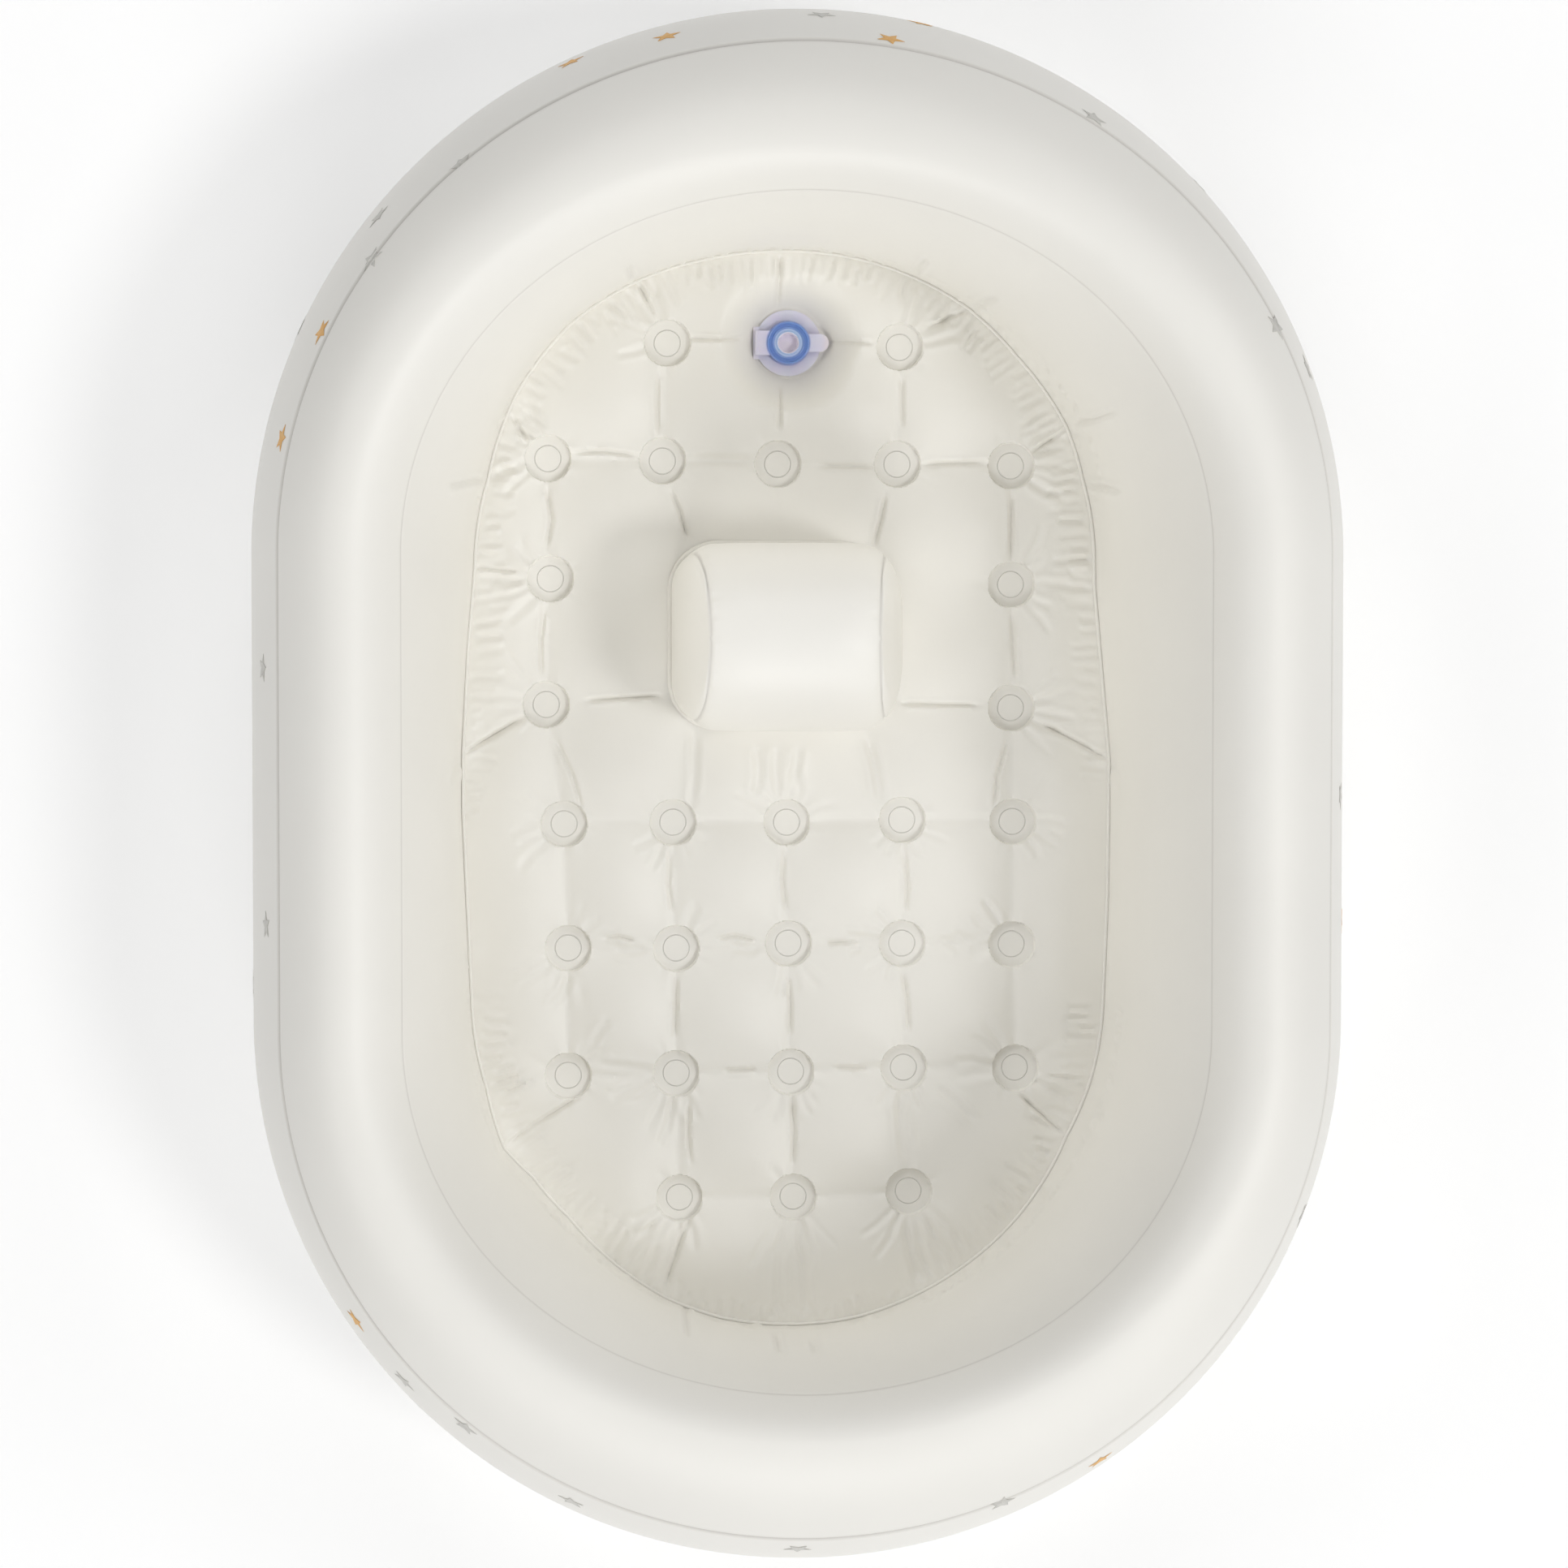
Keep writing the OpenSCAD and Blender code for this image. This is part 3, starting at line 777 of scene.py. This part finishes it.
def floorFolds():
    shape = floorShape
    dice = random.Random(shape["seed"])
    sharp = [(inPlan(line, shape["foldLevel"]), *shape["sharpFold"]) for line in sharpFolds]
    folds = [(inPlan(line, shape["foldLevel"]), *shape["softFold"]) for line in softFolds]
    centres = spotCentres()
    radius = shape["spotRadius"]
    allRound = [(spot, 0, 360, 5, 14) for spot in range(len(centres))]
    for spot, start, end, count, reach in wrinkleFans + allRound:
        cx, cy = centres[spot]
        weak = 0.45 if end - start == 360 else 1
        for i in range(count):
            turn = math.radians(start + (end - start) * (i + dice.uniform(0.2, 0.8)) / count)
            bend = turn + dice.uniform(-0.16, 0.16)
            far = reach * dice.uniform(0.6, 1.3)
            middle = (turn + bend) / 2 + dice.uniform(-0.04, 0.04)
            steps = ((radius - 4, turn), (radius + far / 2, middle), (radius + far, bend))
            line = [(cx + r * math.cos(a), cy + r * math.sin(a)) for r, a in steps]
            depth = weak * dice.uniform(0.4, 1.1) * (0.6 + reach / 50)
            folds.append((line, dice.uniform(1.6, 2.6), depth, 0.6))
    return folds + sharp, sharp


def spotCentres():
    return inPlan(weldSpots, floorShape["top"] - floorShape["spotDepth"])


def spotGap(x, y):
    return np.min([np.hypot(x - cx, y - cy) for cx, cy in spotCentres()], axis=0)


def drainGap(x, y):
    return np.hypot(x - floorShape["drain"][0], y - floorShape["drain"][1])


# One pit of a film at the points whose distance from its flat bottom is gap
def pressPit(height, level, side, gap, bottom, reach, step, power):
    bowl = (1 - np.clip(gap / reach, 0, 1)) ** power
    edge = bottom + side * step * smooth(gap / 0.5)
    pit = level + (edge - level) * bowl
    pressed = np.minimum(height, pit) if side > 0 else np.maximum(height, pit)
    return np.where(gap < reach, pressed, height)


# Height of a film with its pits, and where it is free to fold: level is its height away
# from them, side is 1 for the upper film and -1 for the lower one
def pillowHeight(x, y, level, side):
    shape = floorShape
    height = level.copy()
    clear = np.ones_like(x)
    bottom = shape["top"] - shape["spotDepth"] if side > 0 else shape["spotDepth"]
    reach, step = shape["spotReach"], shape["spotStep"]
    for cx, cy in spotCentres():
        gap = np.hypot(x - cx, y - cy) - shape["spotRadius"]
        height = pressPit(height, level, side, gap, bottom, reach, step, 2)
        clear *= 1 - np.clip(1 - gap / 1.6, 0, 1)
    cx, cy = shape["drain"]
    wider, tab = shape["tabRoom"]
    gap = drainGap(x, y) - shape["drainRadius"]
    gap -= wider * np.exp(-(((y - cy) / tab) ** 2)) * (x > cx)
    bottom = shape["drainTop"] if side > 0 else shape["drainUnder"]
    height = pressPit(height, level, side, gap, bottom, shape["drainReach"], 0, 1.7)
    return height, clear * (1 - np.clip(1 - gap / 6, 0, 1))


# Points near the edge of a weld spot move onto it, so that the edge comes out round
def roundSpots(x, y):
    radius = floorShape["spotRadius"]
    for cx, cy in spotCentres():
        dx, dy = x - cx, y - cy
        rho = np.hypot(dx, dy) + 1e-9
        off = rho - radius
        outside = 0.3 + (off - 0.35) * 0.7 / 0.65  # from 0.35 .. 1 to 0.3 .. 1
        off = np.where(np.abs(off) < 0.35, 0, np.where((off > 0) & (off < 1), outside, off))
        x, y = cx + dx * (radius + off) / rho, cy + dy * (radius + off) / rho
    return x, y


# Valleys between the pillows: along the lines from spot to spot, and along a few more
def valleyHeight(x, y):
    shape = floorShape
    centres = spotCentres()
    nearest, farthest = shape["neighbours"]
    lines = [(*inPlan(line, shape["top"]), share) for *line, share in extraValleys]
    for i, start in enumerate(centres):
        for end in centres[i + 1 :]:
            if nearest < math.dist(start, end) < farthest:
                lines.append((start, end, 1))
    height = np.zeros_like(x)
    for start, end, share in lines:
        gap = lineGap(x, y, start, end)[0] / shape["valleyReach"]
        height = np.maximum(height, share * (1 - np.clip(gap, 0, 1)) ** 2)
    return -shape["valleyDepth"] * height


# Slow swells of the film, from -1 to 1
def waves(x, y, seed):
    dice = random.Random(seed)
    total = np.zeros_like(x)
    count = 7
    for _ in range(count):
        turn, length = dice.uniform(0, math.pi), dice.uniform(55, 120)
        along = x * math.cos(turn) + y * math.sin(turn)
        total += np.sin(along * 2 * math.pi / length + dice.uniform(0, 6))
    return total / count


# A grid over the floor's oval: cut to the seam, with a hole at the drain, and finer where
# there is detail, in as many passes as there are tests. Its outer edge lies on the seam.
def floorGrid(step, needsDetail, useInset):
    shape = floorShape
    width, length = shape["radius"], shape["radius"] + wallShape["halfStraight"]
    bm = bmesh.new()
    bmesh.ops.create_grid(
        bm, x_segments=round(2 * width / step), y_segments=round(2 * length / step), size=1,
        matrix=Matrix.Diagonal((width, length, 1, 1)),
    )

    def edgeGap(x, y):
        place, inset = ovalPlace(x, y, shape["radius"])
        return place, inset - (seamInset(place, shape["radius"]) if useInset else 0)

    x, y, _ = coordinates(bm).T
    spare = 0.3 * step  # points this close to the outline move onto it
    away = (edgeGap(x, y)[1] < -spare) | (drainGap(x, y) < shape["drainHole"] - spare)
    verts = [v for v, gone in zip(bm.verts, away) if gone]
    bmesh.ops.delete(bm, geom=verts, context="VERTS")
    for needed in needsDetail:
        x, y, _ = coordinates(bm).T
        fine = needed(x, y, edgeGap(x, y))
        bm.verts.index_update()
        faces = [f for f in bm.faces if any(fine[v.index] for v in f.verts)]
        edges = list({e for f in faces for e in f.edges})
        bmesh.ops.subdivide_edges(bm, edges=edges, cuts=1, use_grid_fill=True)
    for vert in {v for e in bm.edges if e.is_boundary for v in e.verts}:
        x, y = vert.co.x, vert.co.y
        if nearDrain(vert):
            cx, cy = shape["drain"]
            scale = shape["drainHole"] / drainGap(x, y)
            vert.co = (cx + (x - cx) * scale, cy + (y - cy) * scale, 0)
        else:
            centre = axisPoint(y)
            rho = math.hypot(x, y - centre)
            gap = float(edgeGap(np.array([x]), np.array([y]))[1][0])
            scale = (rho + gap) / rho
            vert.co = (x * scale, centre + (y - centre) * scale, 0)
    return bm, edgeGap


def nearDrain(vert):
    return drainGap(vert.co.x, vert.co.y) < 2 * floorShape["drainHole"]


def makeUpperFloor(material):
    shape = floorShape
    folds, sharp = floorFolds()
    length = ovalLength(shape["radius"])
    dice = random.Random(shape["seed"] + 1)
    gathers = puckerFolds(gatherBands, length, *shape["gathers"], dice)

    def detail(x, y, edge):
        small = np.abs(foldHeight(x, y, folds)) > 0.45
        rim = edge[1] < 20
        spots = spotGap(x, y) < shape["spotRadius"] + 4
        return small | rim | spots | (drainGap(x, y) < 30)

    def finest(x, y, edge):
        line = foldHeight(x, y, sharp) < -0.7
        return line | (np.abs(spotGap(x, y) - shape["spotRadius"] - 0.3) < 1.5)

    bm, edgeGap = floorGrid(shape["step"], (detail, finest), True)
    x, y = roundSpots(*coordinates(bm).T[:2])
    place, edge = edgeGap(x, y)
    edge = np.clip(edge, 0, None)
    t = np.clip(edge / shape["rimReach"], 0, 1)
    level = shape["rim"] + (shape["top"] - shape["rim"]) * (1 - (1 - t) ** 1.7)
    level += valleyHeight(x, y) * smooth(edge / 14)
    level += shape["wave"] * waves(x, y, shape["seed"]) * smooth(edge / 30)
    z, share = pillowHeight(x, y, level, 1)
    z += foldHeight(x, y, folds) * share * smooth(edge / 4 + 0.3)
    z += foldHeight(place, edge, gathers) * share
    moveTo(bm, x, y, z)
    closeFloor(bm)
    beadIn, beadUp = shape["beadPlace"]
    path = []
    for place in np.arange(0, length, 3):
        inset = float(seamInset(np.array([place]), shape["radius"])[0])
        path.append((*ovalPoint(place, shape["radius"], inset + beadIn), shape["rim"] + beadUp))
    addBead(bm, path, shape["beadRadius"])
    x, y, z = coordinates(bm).T
    setAttribute(bm, "spotGap", np.where(z > shape["split"], spotGap(x, y), 99))
    # painted shade on the last 1.6 mm of film beside the seam with the wall
    fade = smooth((1.6 - np.abs(edgeGap(x, y)[1])) / 1.2)
    setAttribute(bm, "weld", shape["seamShade"] * fade)
    bmesh.ops.remove_doubles(bm, verts=bm.verts, dist=0.005)
    return finishPiece(bm, "floorUpperFilm", material, crisp=50)


def makeLowerFloor(material):
    shape = floorShape

    def detail(x, y, edge):
        return (spotGap(x, y) < shape["spotRadius"] + 8) | (edge[1] < 12)

    bm, edgeGap = floorGrid(shape["underStep"], (detail,), False)
    x, y, _ = coordinates(bm).T
    edge = np.clip(edgeGap(x, y)[1], 0, None)
    t = np.clip(edge / shape["rimReach"], 0, 1)
    level = shape["split"] * (1 - np.sqrt(1 - (1 - t) ** 2))
    z = pillowHeight(x, y, level, -1)[0]
    moveTo(bm, x, y, np.clip(z, 0, shape["split"]))
    closeFloor(bm)
    bmesh.ops.remove_doubles(bm, verts=bm.verts, dist=0.005)
    return finishPiece(bm, "floorLowerFilm", material, crisp=50)


# Closes a film at the height where the two halves of the floor meet
def closeFloor(bm):
    shape = floorShape
    border = [e for e in bm.edges if e.is_boundary]
    grown = bmesh.ops.extrude_edge_only(bm, edges=border)["geom"]
    for vert in vertsOf(grown):
        x, y = vert.co.x, vert.co.y
        vert.co.z = shape["split"]
        if not nearDrain(vert):
            centre = axisPoint(y)
            scale = shape["radius"] / math.hypot(x, y - centre)
            vert.co.x, vert.co.y = x * scale, centre + (y - centre) * scale
    bmesh.ops.triangle_fill(bm, edges=edgesOf(grown), use_beauty=True)


# The post between the legs
postShape = dict(
    centre=(-3.4, 88.9),
    base=(69, 55),  # half sizes on the floor
    topWidth=49,
    foot=59,
    top=192,
    archHeight=66,
    corners=(28, 38),  # radius of its corners at the foot, left and right
    roundTop=0.3,  # how far the top falls away towards the end seams
    endBulge=2.5,
    wrapBulge=1.5,
    seamDepth=1.3,
    # painted shade in the grooves of the end seams
    seamShade=0.55,
    puckerDepth=0.8,
    puckerReach=0.09,  # from the end seam, as a share of the half width
    puckers=26,  # along each end seam
    footFlange=2,
    footFlare=0.045,  # share of the lowest part over which the flange spreads
    beadRadius=1.6,
    beadPlace=(-0.5, 0.6),  # out from the flange, and above the floor's top
    footShade=(0.3, 1.4),  # painted contact shade of the weld at the foot, and its height above the floor
    cuts=72,
    seed=5,
)


# A rectangle of these half sides with round corners: the place at a share of the way from the
# middle of a side to the middle of the corner, as the distance along the side and the
# distance that it falls back from it
def roundCorner(share, halfSide, radius):
    straight = halfSide - radius
    way = share * (straight + radius * math.pi / 4)
    turn = np.clip((way - straight) / np.maximum(radius, 1e-6), 0, None)
    along = np.where(turn > 0, straight + radius * np.sin(turn), way)
    return along, radius * (1 - np.cos(turn))


def makePost(material):
    shape = postShape
    bm = bmesh.new()
    bmesh.ops.create_cube(bm, size=2)
    bmesh.ops.subdivide_edges(bm, edges=bm.edges[:], cuts=shape["cuts"], use_grid_fill=True)
    a, b, c = coordinates(bm).T  # across the tub, along it and up, each from -1 to 1
    arch = np.clip(c, 0, 1)  # the upper half of the section is squeezed into an arch
    across = b * np.sqrt(1 - arch**2 / 2)
    rise = arch * np.sqrt(1 - b**2 / 2)
    level = np.sqrt(1 - np.clip(rise, 0, 1) ** 2)  # half width of the section at that height
    rise = rise * np.sqrt(1 - shape["roundTop"] * a**4 / 2)
    halfBase, halfLength = shape["base"]
    straight = shape["top"] - shape["archHeight"] - shape["foot"]
    z = shape["foot"] + straight * np.clip(c + 1, 0, 1) + shape["archHeight"] * rise
    tall = (z - shape["foot"]) / (shape["top"] - shape["foot"])
    halfWidth = halfBase + (shape["topWidth"] - halfBase) * np.clip(tall, 0, 1) ** 1.7
    rim = np.maximum(np.abs(b), np.abs(c))  # 1 on the seams of the end panels
    wrap = rim > 0.999
    isEnd = np.abs(a) > 0.999
    under = c < -0.999
    crown = shape["wrapBulge"] * (1 - a**4) * wrap * smooth(tall * 1.5)
    z = z + crown * rise
    halfY = level * (halfLength + crown)
    foot = blendPair(shape["corners"], smooth(a * 2 + 0.5))
    radius = np.minimum(foot * np.clip(1 - tall, 0, 1) ** 0.8, 0.9 * halfY)  # less towards the top
    sideX, backY = roundCorner(np.abs(a), halfWidth, radius)
    share = np.clip(np.abs(across) / np.maximum(level, 1e-6), 0, 1)
    endY, backX = roundCorner(share, halfY, radius)
    x = np.sign(a) * np.where(isEnd, halfWidth - backX + shape["endBulge"] * (1 - rim**2), sideX)
    wrapY = np.where(under, np.abs(b) * (halfLength + crown - backY), halfY - backY)
    y = np.sign(b) * np.where(isEnd, endY, wrapY)

    # The end seams: a groove, with puckers that run out of it over the top
    onSeam = wrap & isEnd & (c > -0.9)
    turn = np.arctan2(rise + 0.15, across)
    dice = random.Random(shape["seed"])
    phase = dice.uniform(0, 6)
    pucker = np.sin(turn * shape["puckers"] + phase + 1.3 * np.sin(turn * 5))
    fade = np.exp(-(((1 - np.abs(a)) / shape["puckerReach"]) ** 2))
    pucker *= fade * wrap * (1 - onSeam) * (c > -0.6)
    dent = shape["seamDepth"] * onSeam + shape["puckerDepth"] * (pucker > 0) * pucker
    norm = np.hypot(across, rise) + 1e-6
    y -= dent * across / norm
    z -= dent * rise / norm
    flare = smooth((shape["footFlare"] - 1 - c) / shape["footFlare"])
    x = x * (1 + flare * shape["footFlange"] / halfBase)
    y = y * (1 + flare * shape["footFlange"] / halfLength)
    cx, cy = shape["centre"]
    moveTo(bm, x + cx, y + cy, z)
    # painted shade in the end seams' grooves, with the weld's gloss
    setAttribute(bm, "weld", shape["seamShade"] * onSeam)
    bmesh.ops.remove_doubles(bm, verts=bm.verts, dist=0.005)

    flange = shape["footFlange"] + shape["beadPlace"][0]
    ring = []
    for side, radius in ((1, shape["corners"][1]), (-1, shape["corners"][0])):
        radius += flange
        bend = [(math.sin(t) - 1, 1 - math.cos(t)) for t in np.linspace(0, math.pi / 2, 20)]
        top = [(0, halfLength + flange)] + [
            (halfBase + flange + radius * u, halfLength + flange - radius * v) for u, v in bend
        ]
        half = top + [(x, -y) for x, y in top[::-1]]
        ring += [(side * x, y) for x, y in half[::side]][: len(half) - 1]
    height = floorShape["top"] + shape["beadPlace"][1]
    addBead(bm, [(x + cx, y + cy, height) for x, y in ring], shape["beadRadius"])
    # painted contact shade: the post is greyer and glossier up to this height above the floor
    layer = bm.verts.layers.float["weld"]
    shadeAtFoot, above = shape["footShade"]
    for vert in bm.verts:
        if vert.co.z < floorShape["top"] + above:
            vert[layer] = shadeAtFoot
    return finishPiece(bm, "postSheets", material)


# The drain: tints of the translucent moulding by the distance from its middle
drainLook = dict(
    middle=(0, 268.7, 0),
    tints=[  # distance in millimetres, colour: cup, collar's inner rings, collar, flange
        (0, (246, 240, 252)), (6.3, (240, 234, 250)), (6.9, (168, 194, 240)),
        (8.2, (186, 208, 246)), (9.0, (122, 154, 218)), (10.4, (98, 136, 208)),
        (12.3, (104, 142, 212)), (13.1, (140, 162, 222)), (14.2, (218, 216, 240)),
        (20.5, (226, 224, 242)), (26, (240, 230, 238)),
    ],
    reach=26,  # distance of the last tint
    capTop=37,
    ridges=[(12.3, 0.8), (9.6, 0.6), (6.9, 0.6)],  # radius on the cap, half thickness
)


# Soft plastic with a fine grain
def finishPlastic(tree, shader, tone, roughness, clear):
    fillSockets(tree, shader, {
        "Base Color": tone, "Roughness": roughness, "IOR": 1.5,
        "Subsurface Weight": clear, "Subsurface Scale": 0.002,
        "Normal": noiseBump(tree, 700, 2, 0.08, 0.0002),
    })


def mouldingMaterial(name, roughness, clear):
    look = drainLook
    material, tree, shader = newMaterial(name)

    def vector(operation, *inputs):
        node = addNode(tree, "VectorMath", dict(enumerate(inputs)), operation=operation)
        return node.outputs["Value" if operation == "LENGTH" else "Vector"]

    place = addNode(tree, "TexCoord").outputs["Object"]
    away = vector("SUBTRACT", place, [v * mm for v in look["middle"]])
    gap = vector("LENGTH", vector("MULTIPLY", away, (1, 1, 0)))
    share = addNode(tree, "Math", {0: gap, 1: 1 / (look["reach"] * mm)}, operation="MULTIPLY")
    stops = [(place / look["reach"], linear(*colour)) for place, colour in look["tints"]]
    tone = rampNode(tree, share.outputs["Value"], stops)
    cloud = noiseNode(tree, 120, 3).outputs["Color"]
    colours = {"Factor": 0.2, "A": tone, "B": cloud}
    mixed = addNode(tree, "Mix", colours, data_type="RGBA", blend_type="SOFT_LIGHT")
    finishPlastic(tree, shader, mixed.outputs["Result"], roughness, clear)
    fillSockets(tree, shader, {
        "Subsurface Radius": (0.9, 1, 1.3), "Coat Weight": 0.4, "Coat Roughness": 0.12,
    })
    return material


def clearMaterial(name, colour, dim, roughness):
    material, tree, shader = newMaterial(name)
    tone = cloudTone(tree, 160, 3, [(0.3, linear(*dim)), (0.7, linear(*colour))])
    finishPlastic(tree, shader, tone, roughness, 0.3)
    shader.inputs["Transmission Weight"].default_value = 0.15
    return material


def dressNode(name, material):
    node = bpy.data.objects[name]
    if node.material_slots:
        for slot in node.material_slots:
            slot.material = material
    else:
        node.data.materials.append(material)


# The moulded ridges on top of the drain's cap
def makeDrainRidges(material):
    shape = drainLook
    x, y, _ = shape["middle"]
    bm = bmesh.new()
    for radius, half in shape["ridges"]:
        ridge = bmesh.ops.create_circle(bm, segments=14, radius=half)["verts"]
        bmesh.ops.rotate(bm, verts=ridge, matrix=Matrix.Rotation(math.pi / 2, 3, "X"))
        bmesh.ops.translate(bm, verts=ridge, vec=(x + radius, y, shape["capTop"]))
        edges = list({e for v in ridge for e in v.link_edges})
        bmesh.ops.spin(
            bm, geom=ridge + edges, cent=(x, y, 0), axis=(0, 0, 1), dvec=(0, 0, 0),
            angle=2 * math.pi, steps=80, use_merge=True, use_duplicate=False,
        )
    bmesh.ops.remove_doubles(bm, verts=bm.verts, dist=0.001)
    return finishPiece(bm, "drainRidges", material)


# Printed stars on the outer sheet
starShape = dict(
    size=8.6,  # from the middle to a tip
    waist=0.44,
    thickness=0.12,
    proud=0.16,
    inPhoto=[  # pixels, turn in degrees, name of the ink
        ((1097, 48), 10, "ochre"), ((703, 77), 25, "ochre"), ((396, 408), 60, "ochre"),
        ((347, 540), 78, "ochre"), ((438, 1626), 130, "ochre"), ((568, 201), 35, "grey"),
        ((460, 320), 50, "grey"), ((1348, 145), -30, "grey"), ((1573, 402), -60, "grey"),
        ((328, 1140), 95, "grey"), ((573, 1758), 150, "grey"), ((704, 1850), 160, "grey"),
        ((983, 1908), 180, "grey"), ((1235, 1852), 200, "grey"), ((1012, 18), 0, "grey"),
    ],
    rounds=[  # height, number round the tub, first angle
        (212, 11, 3), (168, 12, 19), (124, 11, 8), (80, 12, 22),
    ],
    ovalRadius=320,
    spacing=45,  # the least distance between two stars
    valveRoom=dict(side=110, end=-400, low=80, high=200),  # no star lies on the valves
    seed=3,
)


def makeStars(wall, inks):
    shape = starShape
    bm = bmesh.new()
    bm.from_mesh(wall.data)
    surface = BVHTree.FromBMesh(bm)
    bm.free()
    stars = {name: bmesh.new() for name in inks}
    spots = []
    start = Vector(photo["position"]) * mm
    for (px, py), turn, ink in shape["inPhoto"]:
        point, normal, _, _ = surface.ray_cast(start, photoRay(px, py))
        if point:
            spots.append((point, normal, turn, ink))
    dice = random.Random(shape["seed"])
    radius, room = shape["ovalRadius"], shape["valveRoom"]
    for height, count, first in shape["rounds"]:
        for i in range(count):
            share = first / 360 + (i + dice.uniform(-0.2, 0.2)) / count
            x, y = ovalPoint(share % 1 * ovalLength(radius), radius, 0)
            out = Vector((x, y - axisPoint(y), 0)).normalized()
            far = Vector((x, y, height + dice.uniform(-12, 12))) * mm + out * 0.2
            point, normal, _, _ = surface.ray_cast(far, -out)
            turn, ink = dice.uniform(0, 72), dice.choice(["ochre", "grey", "grey"])
            taken = any((point - other).length < shape["spacing"] * mm for other, *_ in spots)
            px, py, pz = point / mm
            atEnd = py < room["end"] and abs(px) < room["side"]
            if not taken and not (atEnd and room["low"] < pz < room["high"]):
                spots.append((point, normal, turn, ink))
    for point, normal, turn, ink in spots:
        addStar(stars[ink], surface, point, normal, turn)
    pieces = []
    for name, star in stars.items():
        bmesh.ops.recalc_face_normals(star, faces=star.faces)
        pieces.append(makeObject(star, name + "Stars", inks[name]))
    print("stars:", len(spots))
    return pieces


def addStar(bm, surface, point, normal, turn):
    shape = starShape
    star = bmesh.new()
    size = shape["size"] * mm
    bmesh.ops.create_circle(star, cap_ends=True, cap_tris=True, segments=10, radius=size)
    for vert in [v for v in star.verts if v.is_boundary]:
        angle = math.atan2(vert.co.y, vert.co.x) - math.pi / 2
        if round(angle / (math.pi / 5)) % 2:
            vert.co *= shape["waist"]
    bmesh.ops.rotate(star, verts=star.verts, matrix=Matrix.Rotation(math.radians(turn), 3, "Z"))
    bmesh.ops.subdivide_edges(star, edges=star.edges[:], cuts=2, use_grid_fill=True)
    frameTurn = normal.to_track_quat("Z", "Y").to_matrix()
    bmesh.ops.rotate(star, verts=star.verts, matrix=frameTurn)
    bmesh.ops.translate(star, verts=star.verts, vec=point)
    for vert in star.verts:
        near, facing, _, _ = surface.find_nearest(vert.co)
        vert.co = near + facing * shape["proud"] * mm
    grown = bmesh.ops.extrude_face_region(star, geom=star.faces[:])["geom"]
    for vert in vertsOf(grown):
        vert.co += normal * shape["thickness"] * mm
    mesh = bpy.data.meshes.new("star")
    star.to_mesh(mesh)
    star.free()
    bm.from_mesh(mesh)
    bpy.data.meshes.remove(mesh)


addCamera()
addStudio()
wall = makeWall(filmMaterial("wallFilm", 0.45))
floorFilm = filmMaterial("floorFilm", 0.42, rings=True)
upperFilm, lowerFilm = makeUpperFloor(floorFilm), makeLowerFloor(floorFilm)
post = makePost(filmMaterial("postFilm", 0.43))
for piece, node, slot, fill in (
    (wall, "wall", "wall_film", 1), (upperFilm, "floor", "floor_film", 0.9),
    (lowerFilm, "floor", "floor_film", 0.9), (post, "post", "floor_film", 1),
):
    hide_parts(node)
    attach(piece, "tub")

inks = {
    "ochre": inkMaterial("ochreInk", (232, 177, 98), (236, 190, 122)),
    "grey": inkMaterial("greyInk", (208, 206, 200), (218, 216, 210)),
}
for piece in makeStars(wall, inks):
    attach(piece, "tub")

drainPlastic = mouldingMaterial("drainPlastic", 0.3, 0.25)
for name in ("drain_body", "drain_plug"):
    dressNode(name, drainPlastic)
ridges = makeDrainRidges(drainPlastic)
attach(ridges, "drain_cap")
valvePlastic = clearMaterial("valvePlastic", (242, 244, 247), (228, 231, 236), 0.25)
for name in ("wall_valve_body", "wall_valve_plug", "floor_valve_body", "floor_valve_plug"):
    dressNode(name, valvePlastic)
